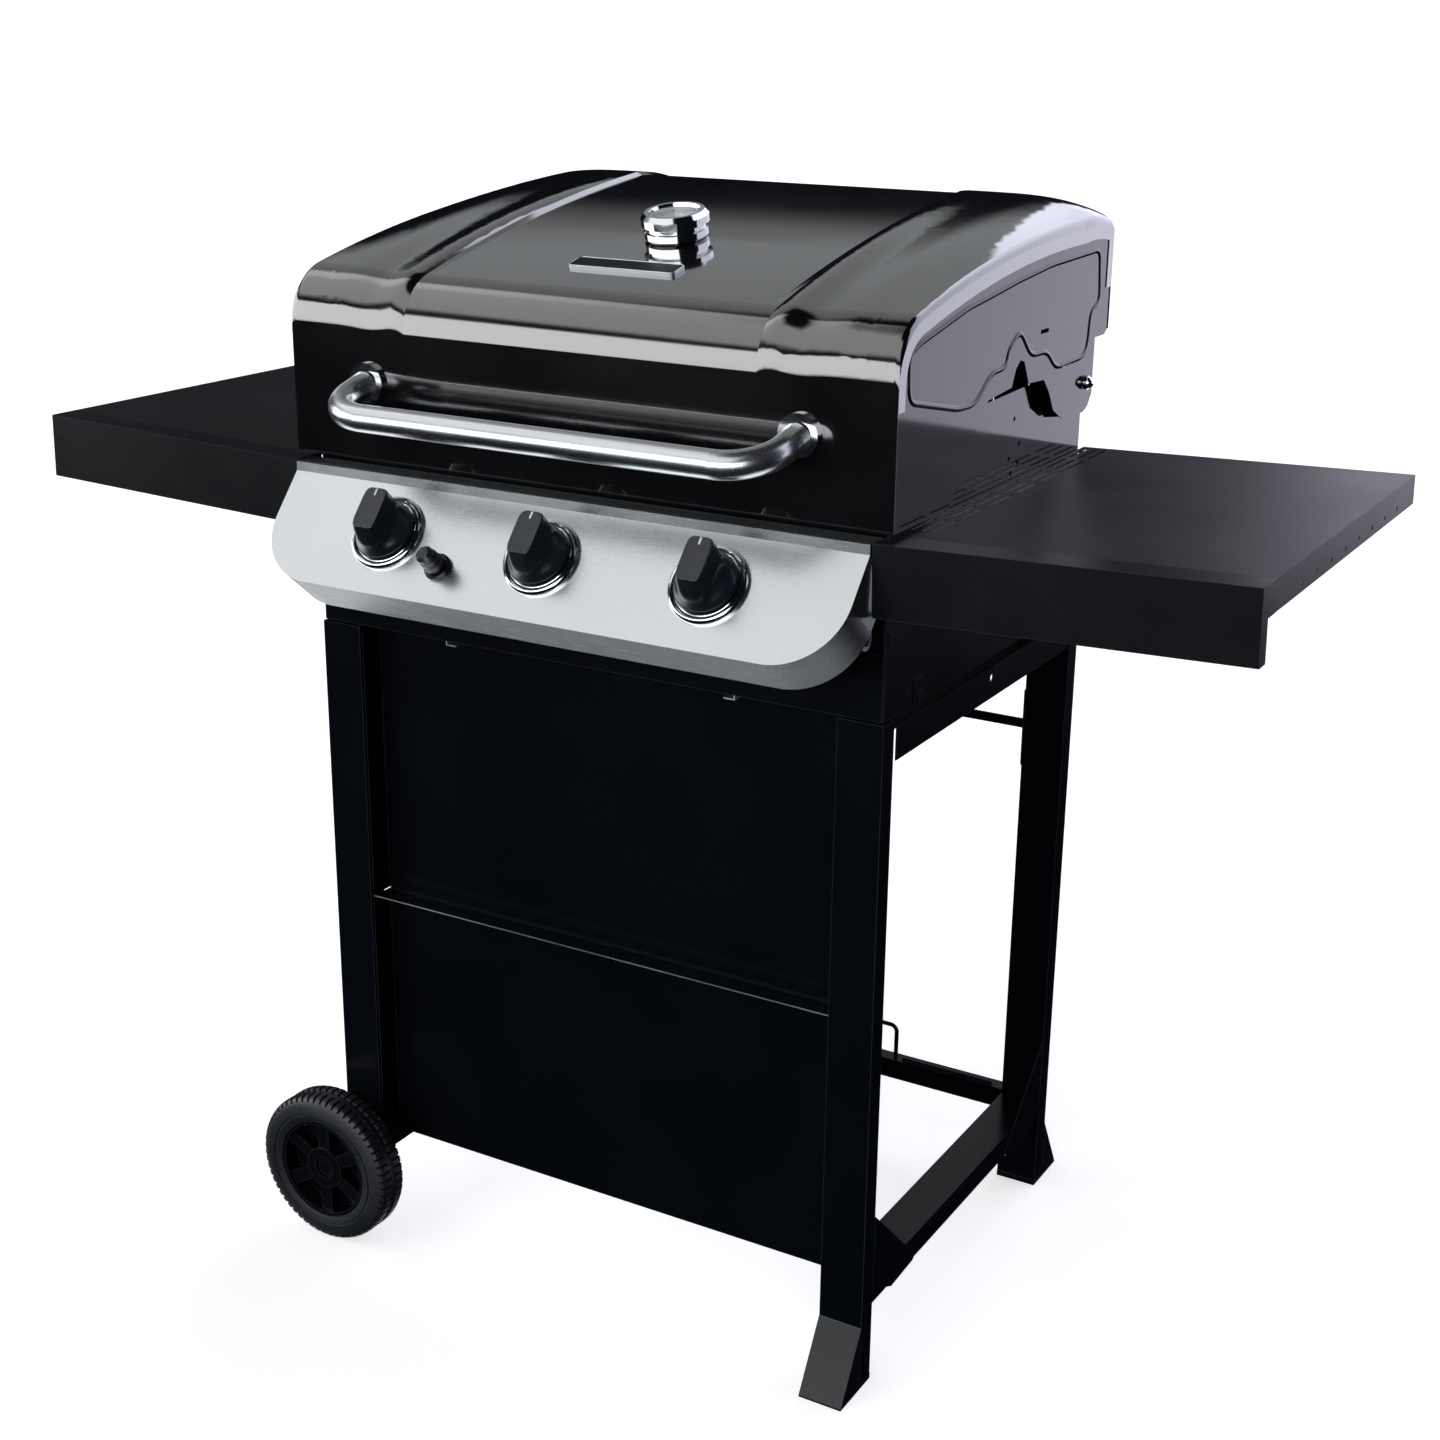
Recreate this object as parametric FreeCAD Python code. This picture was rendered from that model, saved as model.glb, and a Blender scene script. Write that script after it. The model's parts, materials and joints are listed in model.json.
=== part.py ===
import FreeCAD, Part
import math
import os

# Gas barbecue grill on a wheeled cart. Units are millimetres, +Z is up, the front faces -Y.
# Sizes are written in a working frame with the front face of the front legs at y = 0 and the
# floor at z = 0; put() moves every piece so that the plan origin sits mid-depth.

# ---- driving sizes -------------------------------------------------------------------------
OVERALL_WIDTH = 1300.0        # tip to tip over both side shelves
CART_WIDTH = 633.0            # outside to outside of the legs
CART_DEPTH = 469.0            # front face of front legs to back face of rear legs
LEG_WIDTH = 46.0
LEG_DEPTH = 22.0
LEG_WALL = 1.4
LEG_TOP = 687.0
SHEET = 1.2                   # thickness of the painted steel sheet
SHELF_TOP = 857.7             # shelf surface height at its inner end
SHELF_DEPTH = 454.0
SHELF_EDGE = 28.0             # height of the folded shelf edge
SHELF_TILT = 1.72             # degrees, outer end raised
FASCIA_HEIGHT = 65.0
LID_WIDTH = 651.6
LID_FRONT = -14.0             # outer front face of the lid
LID_BACK = 474.0
LID_BOTTOM = 868.0
LID_RIDGE = 1109.0            # highest line of the lid, in the middle of its width
RIDGE_Y = 397.0
LID_SHEET = 1.0
NOSE_RADIUS = 54.0            # rounded front edge of the lid
HINGE_Y = 418.0
HINGE_Z = 931.0
WHEEL_RADIUS = 84.0
WHEEL_WIDTH = 41.0
WHEEL_GAP = 18.5              # between a wheel and its leg
WHEEL_X = -307.5              # axle line, towards the outside of the left legs
AXLE_RADIUS = 5.0
PANEL_ANGLE = 40.0            # control panel face, degrees from vertical
PANEL_HEIGHT = 114.0
PANEL_DEPTH = 50.0
PANEL_CORNER = 65.0
KNOB_PITCH = 175.5
KNOB_DROP = 51.0              # down the face from its top fold
HANDLE_RADIUS = 13.0
HANDLE_SPAN = 468.0
HANDLE_REACH = 68.0
HANDLE_DROP = 19.0
BURNER_RADIUS = 12.5
HANDLE_BEND = 45.0            # bend radius of the handle tube
BURNER_Z = 785.0
GRATE_TOP = 876.0
FIT = 0.05                    # radial play of pins and screws in their holes
GAP = 0.4                     # play between neighbouring plates
BUTTON_PUSH = 4.0             # travel of the igniter button

# ---- sizes that follow ---------------------------------------------------------------------
LEG_OUT = CART_WIDTH / 2
LEG_IN = LEG_OUT - LEG_WIDTH
REAR_LEG_FRONT = CART_DEPTH - LEG_DEPTH
BODY_BOTTOM = LEG_TOP + 2.0
BODY_OUT = LEG_OUT - 1.5
BODY_TOP = SHELF_TOP - 4.7
BOX_OUT = BODY_OUT - SHEET - 1.3          # outside face of the firebox side plates
BOX_FRONT = 6.0
BOX_BACK = REAR_LEG_FRONT - 6.0
BOX_FLOOR = BODY_BOTTOM + 26.0
AXLE_Z = WHEEL_RADIUS
PANEL_TOP_Y = -32.0
PANEL_TOP_Z = SHELF_TOP - 9.7
SIN_P = math.sin(math.radians(PANEL_ANGLE))
COS_P = math.cos(math.radians(PANEL_ANGLE))
GRIP_HEIGHT = 40.0
GRIP_TIP = 24.0
FRONT_MOST = PANEL_TOP_Y - (KNOB_DROP + GRIP_TIP) * SIN_P - GRIP_HEIGHT * COS_P
BACK_MOST = CART_DEPTH + WHEEL_GAP + WHEEL_WIDTH
Y_CENTRE = (FRONT_MOST + BACK_MOST) / 2
LID_OUT = LID_WIDTH / 2
NOSE_Z = LID_BOTTOM + 120.5
LID_LIP = LID_BOTTOM - 3.0
SKIRT_Z = LID_BOTTOM - 5.0


# ---- helpers -------------------------------------------------------------------------------
def V(x, y, z):
    return FreeCAD.Vector(x, y, z)


def put(name, shapes):
    if not isinstance(shapes, (list, tuple)):
        shapes = [shapes]
    moved = []
    for shape in shapes:
        s = shape.copy()
        s.translate(V(0, -Y_CENTRE, 0))
        moved.append(s)
    out = moved[0] if len(moved) == 1 else Part.makeCompound(moved)
    out.exportStep("parts/" + name + ".step")


def box(x0, x1, y0, y1, z0, z1):
    return Part.makeBox(x1 - x0, y1 - y0, z1 - z0, V(x0, y0, z0))


def rod(p, direction, radius, length):
    return Part.makeCylinder(radius, length, p, direction)


def face_from(points):
    return Part.Face(Part.makePolygon(points + [points[0]]))


def plate_x(yz, x0, thickness):
    """Flat plate with a y, z outline, thickness along +X."""
    return face_from([V(x0, y, z) for y, z in yz]).extrude(V(thickness, 0, 0))


def plate_y(xz, y0, thickness):
    """Flat plate with an x, z outline, thickness along +Y."""
    return face_from([V(x, y0, z) for x, z in xz]).extrude(V(0, thickness, 0))


def joined(shapes):
    return shapes[0].multiFuse(shapes[1:]).removeSplitter()


def without(shape, tools):
    for tool in tools:
        shape = shape.cut(tool)
    return shape


def mirrored(shape):
    return shape.mirror(V(0, 0, 0), V(1, 0, 0))


def mirrored_depth(shape):
    return shape.mirror(V(0, CART_DEPTH / 2, 0), V(0, 1, 0))


def both(shape):
    return [shape, mirrored(shape)]


def turned(shape, point, axis, degrees):
    out = shape.copy()
    out.rotate(point, axis, degrees)
    return out


# ---- cart ----------------------------------------------------------------------------------
FOOT_BASE = 6.0
FOOT_HEIGHT = 70.0
FOOT_FLARE = 40.0
LEFT_LEG_END = 62.0
RAIL_LOW = 84.0
RAIL_HIGH = 110.0


def leg(bottom):
    outer = box(LEG_IN, LEG_OUT, 0, LEG_DEPTH, bottom, LEG_TOP)
    hollow = box(LEG_IN + LEG_WALL, LEG_OUT - LEG_WALL, LEG_WALL, LEG_DEPTH - LEG_WALL,
                 bottom - 1, LEG_TOP + 1)
    return outer.cut(hollow)


def foot():
    wedge = plate_x([(-GAP, FOOT_HEIGHT), (-FOOT_FLARE, 2), (-FOOT_FLARE, 0), (LEG_DEPTH + 1, 0),
                     (LEG_DEPTH + 1, FOOT_BASE), (-GAP, FOOT_BASE)], LEG_IN, LEG_WIDTH)
    plug = box(LEG_IN + LEG_WALL + GAP, LEG_OUT - LEG_WALL - GAP, LEG_WALL + GAP,
               LEG_DEPTH - LEG_WALL - GAP, FOOT_BASE - 1, FOOT_BASE + 34)
    return joined([wedge, plug])


def legs_and_feet():
    right = leg(FOOT_BASE + 0.1)
    hole = rod(V(-WHEEL_X, -1, AXLE_Z), V(0, 1, 0), AXLE_RADIUS + FIT, LEG_DEPTH + 2)
    left = mirrored(leg(LEFT_LEG_END).cut(hole))
    put("legs_right", [right, mirrored_depth(right)])
    put("legs_left", [left, mirrored_depth(left)])
    put("feet", [foot(), mirrored_depth(foot())])


def lower_side_rail():
    x1 = LEG_OUT - 1.5
    x0 = x1 - 42
    y0 = LEG_DEPTH + 0.2
    y1 = REAR_LEG_FRONT - 0.2
    rail = box(x0, x1, y0, y1, RAIL_LOW, RAIL_HIGH)
    inside = box(x0 + SHEET, x1 - SHEET, y0 - 1, y1 + 1, RAIL_LOW - 1, RAIL_HIGH - SHEET)
    return rail.cut(inside)


def gusset():
    y0 = LEG_DEPTH + 1
    outline = [(y0, RAIL_HIGH + 72), (y0 + 96, RAIL_LOW + 5), (y0 + 92, RAIL_LOW),
               (y0 + 42, RAIL_LOW - 3), (y0, RAIL_LOW + 18)]
    return plate_x(outline, LEG_OUT - 1.4, 1.4)


def upper_side_rail():
    y0 = LEG_DEPTH + 0.2
    y1 = REAR_LEG_FRONT - 0.2
    top = LEG_TOP - 8
    web = box(LEG_OUT - 1.4, LEG_OUT, y0 + 6, y1 - 6, top - 32.5, top)
    flange = box(LEG_OUT - 42, LEG_OUT - 0.7, y0, y1, top - 1.4, top)
    tabs = [box(LEG_OUT - 1.4, LEG_OUT, y, y + 15, top - 5, top + 34) for y in TAB_Y]
    rail = joined([web, flange] + tabs)
    holes = [rod(V(LEG_OUT - 3, y + 7.5, TAB_HOLE_Z), V(1, 0, 0), SCREW_R + FIT, 6) for y in TAB_Y]
    slots = [rod(V(LEG_OUT - 3, 240, top - 11), V(1, 0, 0), 3.5, 6),
             box(LEG_OUT - 3, LEG_OUT + 1, 238.3, 241.7, top - 18, top - 11)]
    return without(rail, holes + slots)


TAB_Y = [63.0, CART_DEPTH - 78.0]
TAB_HOLE_Z = LEG_TOP + 11.0
SCREW_R = 3.0


def rails():
    put("side_rails_lower", both(lower_side_rail()))
    put("side_rails_upper", both(upper_side_rail()))
    plates = both(gusset())
    put("corner_gussets", plates + [mirrored_depth(p) for p in plates])


RAIL_END = LEG_IN - 0.2
WIRE_R = 2.5
WIRE_X = 131.0


def rear_rails():
    y0 = REAR_LEG_FRONT + 1
    y1 = CART_DEPTH - 3
    rail = box(-RAIL_END, RAIL_END, y0, y1, RAIL_LOW + 2, RAIL_HIGH)
    inside = box(-RAIL_END - 1, RAIL_END + 1, y0 + SHEET, y1 - SHEET, RAIL_LOW, RAIL_HIGH - SHEET)
    rail = rail.cut(inside)
    lip = rod(V(143, y0 + 3, RAIL_HIGH + 2), V(1, 0, 0), 2.6, 114)
    rail = joined([rail] + both(lip))
    seats = [rod(V(s * WIRE_X, y0 + 9, RAIL_HIGH - 5), V(0, 0, 1), WIRE_R + FIT, 8) for s in (-1, 1)]
    put("rear_rail_lower", without(rail, seats))

    y = y0 + 9
    low = RAIL_HIGH - 4
    high = RAIL_HIGH + 40
    bend = 8.0
    path = Part.Wire([
        Part.makeLine(V(-WIRE_X, y, low), V(-WIRE_X, y, high - bend)),
        Part.Arc(V(-WIRE_X, y, high - bend), V(-WIRE_X + bend * 0.2929, y, high - bend * 0.2929),
                 V(-WIRE_X + bend, y, high)).toShape(),
        Part.makeLine(V(-WIRE_X + bend, y, high), V(WIRE_X - bend, y, high)),
        Part.Arc(V(WIRE_X - bend, y, high), V(WIRE_X - bend * 0.2929, y, high - bend * 0.2929),
                 V(WIRE_X, y, high - bend)).toShape(),
        Part.makeLine(V(WIRE_X, y, high - bend), V(WIRE_X, y, low))])
    ring = Part.Wire(Part.makeCircle(WIRE_R, V(-WIRE_X, y, low), V(0, 0, 1)))
    put("tank_wire", path.makePipeShell([ring], True, False))

    bracket = box(RAIL_END - 1.6, RAIL_END, y0, CART_DEPTH - 4, 505, 590)
    put("brace_brackets", both(bracket))
    end = RAIL_END - 1.8
    put("rear_brace_upper", box(-end, end, y0 + 1, y0 + 4, 547, 557))


PANEL_Y = 30.0
SEAM_Z = 392.0
PANEL_LOW = 104.0
PANEL_HIGH = 681.0
SEAM = 1.6


def front_sheet(z0, z1):
    face = box(-RAIL_END, RAIL_END, PANEL_Y, PANEL_Y + SHEET, z0, z1)
    side = box(RAIL_END - SHEET, RAIL_END, 3, PANEL_Y + SHEET, z0, z1)
    turn = box(-RAIL_END, RAIL_END, PANEL_Y, PANEL_Y + 14, z1 - SHEET, z1)
    foot_fold = box(-RAIL_END, RAIL_END, PANEL_Y, PANEL_Y + 14, z0, z0 + SHEET)
    return joined([face, turn, foot_fold] + both(side))


def front_panels():
    put("front_panel_lower", front_sheet(PANEL_LOW, SEAM_Z - SEAM / 2))
    put("front_panel_upper", front_sheet(SEAM_Z + SEAM / 2, PANEL_HIGH))
    y0 = PANEL_Y + 15
    rail = box(-RAIL_END, RAIL_END, y0, y0 + 18, PANEL_HIGH - 26, PANEL_HIGH)
    inside = box(-RAIL_END - 1, RAIL_END + 1, y0 + SHEET, y0 + 19, PANEL_HIGH - 26 + SHEET,
                 PANEL_HIGH - SHEET)
    put("front_top_rail", rail.cut(inside))


# ---- wheels --------------------------------------------------------------------------------
RIM_RADIUS = 56.0
HUB_RADIUS = 23.0
SPOKES = 6


def ring_y(outer, inner, x, y0, width, z):
    a = rod(V(x, y0, z), V(0, 1, 0), outer, width)
    return a.cut(rod(V(x, y0 - 1, z), V(0, 1, 0), inner, width + 2))


def wheel_rim(y0):
    x = WHEEL_X
    bore = AXLE_RADIUS + FIT
    rim = ring_y(RIM_RADIUS, RIM_RADIUS - 4, x, y0 + 2, WHEEL_WIDTH - 4, AXLE_Z)
    hub = ring_y(HUB_RADIUS, bore, x, y0 + 5, WHEEL_WIDTH - 10, AXLE_Z)
    web_y = y0 + WHEEL_WIDTH / 2
    web = []
    for i in range(SPOKES):
        blade = box(x - 7, x + 7, web_y - 14, web_y + 4, AXLE_Z + HUB_RADIUS - 4,
                    AXLE_Z + RIM_RADIUS - 2)
        web.append(turned(blade, V(x, 0, AXLE_Z), V(0, 1, 0), 360.0 / SPOKES * i))
    disc = ring_y(RIM_RADIUS - 2, HUB_RADIUS - 2, x, web_y + 2, 3, AXLE_Z)
    pocket = rod(V(x, y0 + 4, AXLE_Z), V(0, 1, 0), 12, 9)
    return joined([rim, hub, disc] + web).cut(pocket)


def tyre(y0):
    x = WHEEL_X
    r = WHEEL_RADIUS
    w = WHEEL_WIDTH
    inner = RIM_RADIUS + GAP / 4
    half = [(inner, 1), (inner + 9, 0), (inner + 20, 1.5), (r - 3, 4), (r, 8), (r, w - 8),
            (r - 3, w - 4), (inner + 20, w - 1.5), (inner + 9, w), (inner, w - 1)]
    face = face_from([V(x + a, y0 + b, AXLE_Z) for a, b in half])
    return face.revolve(V(x, 0, AXLE_Z), V(0, 1, 0), 360)


def wheels():
    front_y = -WHEEL_GAP - WHEEL_WIDTH
    rear_y = CART_DEPTH + WHEEL_GAP
    pocket = 9.0
    rim = wheel_rim(front_y)
    put("wheel_front", rim)
    put("tyre_front", tyre(front_y))
    put("wheel_rear", mirrored_depth(rim))
    put("tyre_rear", mirrored_depth(tyre(front_y)))
    start = front_y + pocket
    end = rear_y + WHEEL_WIDTH - pocket
    put("axle", rod(V(WHEEL_X, start, AXLE_Z), V(0, 1, 0), AXLE_RADIUS, end - start))
    cap = rod(V(WHEEL_X, start - 3, AXLE_Z), V(0, 1, 0), 9, 6.6)
    cap = cap.cut(rod(V(WHEEL_X, start - FIT, AXLE_Z), V(0, 1, 0), AXLE_RADIUS + FIT, 10))
    tube = ring_y(9, AXLE_RADIUS + FIT, WHEEL_X, -WHEEL_GAP - 5 + GAP, WHEEL_GAP + 5 - GAP - 0.1, AXLE_Z)
    put("axle_caps", [cap, mirrored_depth(cap)])
    put("wheel_spacers", [tube, mirrored_depth(tube)])


# ---- body and firebox ----------------------------------------------------------------------
def body():
    side = box(BODY_OUT - SHEET, BODY_OUT, 2, CART_DEPTH - 8, BODY_BOTTOM, BODY_TOP)
    fold = box(BODY_OUT - 12, BODY_OUT, 2, CART_DEPTH - 8, BODY_BOTTOM, BODY_BOTTOM + SHEET)
    side = joined([side, fold])
    at_x = BODY_OUT - 3
    holes = [rod(V(at_x, y + 7.5, TAB_HOLE_Z), V(1, 0, 0), SCREW_R + FIT, 6) for y in TAB_Y]
    holes += [rod(V(at_x, 9, LEG_TOP + 77), V(1, 0, 0), SCREW_R + FIT, 6),
              rod(V(at_x, 51, LEG_TOP + 18), V(1, 0, 0), 3.2, 6),
              rod(V(at_x, 38, LEG_TOP + 8), V(1, 0, 0), 2.2, 6)]
    side = without(side, holes)
    put("body_sides", both(side))
    inner = BODY_OUT - SHEET - 0.2
    put("body_apron", box(-inner, inner, 0.8, 2.0, BODY_BOTTOM, BODY_BOTTOM + 62))
    put("body_back", box(-inner + 12, inner - 12, BOX_BACK + 3, BOX_BACK + 3 + SHEET,
                         BODY_BOTTOM + 10, BODY_TOP - 6))


def firebox_side():
    top = [(BOX_FRONT, LID_BOTTOM + 17), (60, LID_BOTTOM + 20), (150, LID_BOTTOM + 38),
           (199, LID_BOTTOM + 73), (313, LID_BOTTOM + 76), (345, LID_BOTTOM + 38),
           (HINGE_Y - 25, LID_BOTTOM + 31), (HINGE_Y - 14, HINGE_Z + 12), (HINGE_Y + 12, HINGE_Z + 12),
           (BOX_BACK + 4, HINGE_Z - 12), (BOX_BACK + 4, BOX_FLOOR), (BOX_FRONT, BOX_FLOOR)]
    plate = plate_x(top, BOX_OUT - SHEET, SHEET)
    pin = rod(V(BOX_OUT - 5, HINGE_Y, HINGE_Z), V(1, 0, 0), PIN_R + FIT, 10)
    spots = [(271, LID_BOTTOM + 48), (286, LID_BOTTOM + 22), (262, LID_BOTTOM + 11),
             (284, LID_BOTTOM + 4), (268, LID_BOTTOM - 4)]
    holes = [rod(V(BOX_OUT - 5, y, z), V(1, 0, 0), 2.6, 10) for y, z in spots]
    return without(plate, holes + [pin])


PIN_R = 4.0


def firebox():
    side = firebox_side()
    put("firebox_sides", both(side))
    reach = BOX_OUT - SHEET - 0.1
    front = box(-reach, reach, BOX_FRONT, BOX_FRONT + SHEET, BOX_FLOOR, LID_BOTTOM + 15)
    mouths = [rod(V(x, BOX_FRONT - 2, BURNER_Z), V(0, 1, 0), BURNER_RADIUS + 1, 6) for x in KNOB_X]
    put("firebox_front", without(front, mouths))
    back = box(-reach, reach, BOX_BACK - SHEET, BOX_BACK, BOX_FLOOR, HINGE_Z + 50)
    vents = [box(x - 18, x + 18, BOX_BACK - 3, BOX_BACK + 2, BOX_FLOOR + 25, BOX_FLOOR + 29)
             for x in range(-240, 241, 60)]
    put("firebox_back", without(back, vents))
    edge = reach - 0.2
    floor = plate_y([(-edge, BOX_FLOOR), (-70, BOX_FLOOR - 14), (70, BOX_FLOOR - 14), (edge, BOX_FLOOR),
                     (edge, BOX_FLOOR + SHEET), (70, BOX_FLOOR - 14 + SHEET),
                     (-70, BOX_FLOOR - 14 + SHEET), (-edge, BOX_FLOOR + SHEET)],
                    BOX_FRONT + SHEET + 0.2, BOX_BACK - BOX_FRONT - 2 * SHEET - 0.4)
    drain = rod(V(0, MID_Y, BOX_FLOOR - 20), V(0, 0, 1), 42, 30)
    put("firebox_floor", floor.cut(drain))


MID_Y = (BOX_FRONT + BOX_BACK) / 2
KNOB_X = [-KNOB_PITCH, 0.0, KNOB_PITCH]


def ledge_pair(top):
    """Two angle strips on the front and back walls, carrying something at height top."""
    depth = 15.0
    x = BOX_OUT - 6
    y = BOX_FRONT + SHEET + 0.1
    flat = box(-x, x, y, y + depth, top - SHEET, top)
    down = box(-x, x, y, y + SHEET, top - 14, top)
    front = joined([flat, down])
    centre = V(0, MID_Y, 0)
    return [front, front.mirror(centre, V(0, 1, 0))]


def grate(x0, x1):
    y0 = BOX_FRONT + SHEET + 3
    y1 = BOX_BACK - SHEET - 3
    z0 = GRATE_TOP - 9
    window = box(x0 + 7, x1 - 7, y0 + 9, y1 - 9, z0 - 1, GRATE_TOP + 1)
    frame = box(x0, x1, y0, y1, z0, GRATE_TOP).cut(window)
    count = 15
    step = (x1 - x0 - 7) / (count + 1)
    bars = [box(x0 + 3.5 + step * i - 3.2, x0 + 3.5 + step * i + 3.2, y0 + 4, y1 - 4, z0 + 2, GRATE_TOP)
            for i in range(1, count + 1)]
    cross = [box(x0 + 3, x1 - 3, y - 4, y + 4, z0, z0 + 5) for y in (MID_Y - 70, MID_Y + 70)]
    return joined([frame] + bars + cross)


def burner(x):
    y0 = -3.0
    y1 = BOX_BACK - 14
    tube = rod(V(x, y0, BURNER_Z), V(0, 1, 0), BURNER_RADIUS, y1 - y0)
    bore = rod(V(x, y0 - 1, BURNER_Z), V(0, 1, 0), BURNER_RADIUS - 1, y1 - y0 - 1)
    port = [box(x - 20, x + 20, y0 + 14, y0 + 30, BURNER_Z - 30, BURNER_Z - BURNER_RADIUS - 2)]
    pipe = tube.cut(bore)
    flats = rod(V(x, BOX_BACK - 15, BURNER_Z), V(0, 1, 0), 4, 13)
    return without(joined([pipe, flats]), port)


def tent(x):
    low = TENT_LEDGE + 0.2
    half = 46.0
    rise = 30.0
    outline = [(x - half, low), (x, low + rise), (x + half, low), (x + half - 1.6, low),
               (x, low + rise - 1.4), (x - half + 1.6, low)]
    return plate_y(outline, BOX_FRONT + SHEET + 2, BOX_BACK - BOX_FRONT - 2 * SHEET - 4)


TENT_LEDGE = BURNER_Z + 30.0


def cooking_parts():
    put("support_ledges", ledge_pair(GRATE_TOP - 9.3) + ledge_pair(TENT_LEDGE))
    reach = BOX_OUT - SHEET - 4
    put("cooking_grate_left", grate(-reach, -1.5))
    put("cooking_grate_right", grate(1.5, reach))
    put("burners", [burner(x) for x in KNOB_X])
    put("heat_tents", [tent(x) for x in KNOB_X])


RACK_Z = LID_BOTTOM + 117.0
RACK_LEG_Y = (215.0, 300.0)


def warming_rack():
    r = 2.0
    inner = BOX_OUT - 22
    stand = BOX_OUT - SHEET / 2
    pieces = []
    for y in RACK_LEG_Y:
        top_edge = LID_BOTTOM + 73 + 3 * (y - 199) / 114.0
        pieces.append(rod(V(-stand, y, RACK_Z), V(1, 0, 0), r, 2 * stand))
        for s in (-1, 1):
            pieces.append(rod(V(s * stand, y, top_edge + 0.4), V(0, 0, 1), r, RACK_Z - top_edge - 0.4))
            pieces.append(Part.makeSphere(r, V(s * stand, y, RACK_Z)))
    count = 26
    for i in range(count + 1):
        x = -inner + 2 * inner * i / count
        pieces.append(rod(V(x, RACK_LEG_Y[0] - 12, RACK_Z + 2.5), V(0, 1, 0), 1.6,
                          RACK_LEG_Y[1] - RACK_LEG_Y[0] + 24))
    put("warming_rack", joined(pieces))


# ---- grease handling -----------------------------------------------------------------------
TRAY_HALF = 150.0
TRAY_LOW = LEG_TOP - 17.0
TRAY_Y0 = 70.0
TRAY_Y1 = 432.0
CUP_R = 39.0


def grease_parts():
    shell = box(-TRAY_HALF, TRAY_HALF, TRAY_Y0, TRAY_Y1, TRAY_LOW, TRAY_LOW + 16)
    shell = shell.cut(box(-TRAY_HALF + 0.8, TRAY_HALF - 0.8, TRAY_Y0 + 0.8, TRAY_Y1 - 0.8,
                          TRAY_LOW + 0.8, TRAY_LOW + 17))
    wing = box(TRAY_HALF - 0.8, TRAY_HALF + 9, TRAY_Y0, TRAY_Y1, TRAY_LOW + 15.2, TRAY_LOW + 16)
    shell = joined([shell] + both(wing))
    drain = rod(V(0, MID_Y, TRAY_LOW - 2), V(0, 0, 1), 10, 6)
    put("grease_tray", shell.cut(drain))

    shelf = box(TRAY_HALF + 2, TRAY_HALF + 14, 3, BOX_BACK + 2, TRAY_LOW + 13.6, TRAY_LOW + 14.8)
    wall = box(TRAY_HALF + 12.8, TRAY_HALF + 14, 3, BOX_BACK + 2, TRAY_LOW + 13.6, TRAY_LOW + 28)
    put("tray_rails", both(joined([shelf, wall])))

    rim_z = TRAY_LOW - 20.0
    cup = rod(V(0, MID_Y, rim_z - 50), V(0, 0, 1), CUP_R, 51)
    cup = joined([cup, rod(V(0, MID_Y, rim_z), V(0, 0, 1), CUP_R + 5, 1)])
    cup = cup.cut(rod(V(0, MID_Y, rim_z - 49.2), V(0, 0, 1), CUP_R - 0.8, 60))
    put("grease_cup", cup)

    wire = 2.0
    ring = Part.makeTorus(CUP_R + 3.2, wire, V(0, MID_Y, rim_z - wire - 0.3), V(0, 0, 1))
    arm_x = CUP_R + 8.5
    arms = []
    for s in (-1, 1):
        arms.append(rod(V(s * arm_x, MID_Y, rim_z - wire - 0.3), V(-s, 0, 0), 1.3, 5.3))
        arms.append(rod(V(s * arm_x, MID_Y, rim_z - wire - 2.5), V(0, 0, 1), 1.7,
                        TRAY_LOW - rim_z + wire + 2.4))
    put("cup_hanger", joined([ring] + arms))


# ---- control panel -------------------------------------------------------------------------
def on_panel(x, s, w):
    """Point on the control panel: s down the face, w out of it."""
    return V(x, PANEL_TOP_Y - s * SIN_P - w * COS_P, PANEL_TOP_Z - s * COS_P + w * SIN_P)


OUT = V(0, -COS_P, SIN_P)
PANEL_HALF = 313.0


def panel_block(inset, w_front, w_back):
    half = PANEL_HALF - inset
    corner = PANEL_CORNER - inset
    low = PANEL_HEIGHT - inset
    c = corner * (1 - math.sqrt(0.5))
    edges = [
        Part.makeLine(on_panel(-half, 0, w_front), on_panel(half, 0, w_front)),
        Part.makeLine(on_panel(half, 0, w_front), on_panel(half, low - corner, w_front)),
        Part.Arc(on_panel(half, low - corner, w_front), on_panel(half - c, low - c, w_front),
                 on_panel(half - corner, low, w_front)).toShape(),
        Part.makeLine(on_panel(half - corner, low, w_front), on_panel(-half + corner, low, w_front)),
        Part.Arc(on_panel(-half + corner, low, w_front), on_panel(-half + c, low - c, w_front),
                 on_panel(-half, low - corner, w_front)).toShape(),
        Part.makeLine(on_panel(-half, low - corner, w_front), on_panel(-half, 0, w_front))]
    return Part.Face(Part.Wire(edges)).extrude(OUT * (w_back - w_front))


def control_panel():
    t = SHEET
    tray = panel_block(0, 0, -PANEL_DEPTH).cut(panel_block(t, -t, -PANEL_DEPTH - 5))
    y = PANEL_TOP_Y
    z = PANEL_TOP_Z
    strip = box(-PANEL_HALF, PANEL_HALF, y, y + t, z - 1.0, SHELF_TOP - 0.7)
    top = box(-PANEL_HALF, PANEL_HALF, y, -4, SHELF_TOP - 0.7 - t, SHELF_TOP - 0.7)
    panel = joined([tray, strip, top])
    trims = [box(-400, 400, -2, 100, 600, 900)]
    holes = [rod(on_panel(x, KNOB_DROP, -5), OUT, 9, 10) for x in KNOB_X]
    holes.append(rod(on_panel(BUTTON_X, BUTTON_DROP, -5), OUT, 11 + FIT, 10))
    put("control_panel", without(panel, trims + holes))


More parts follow.
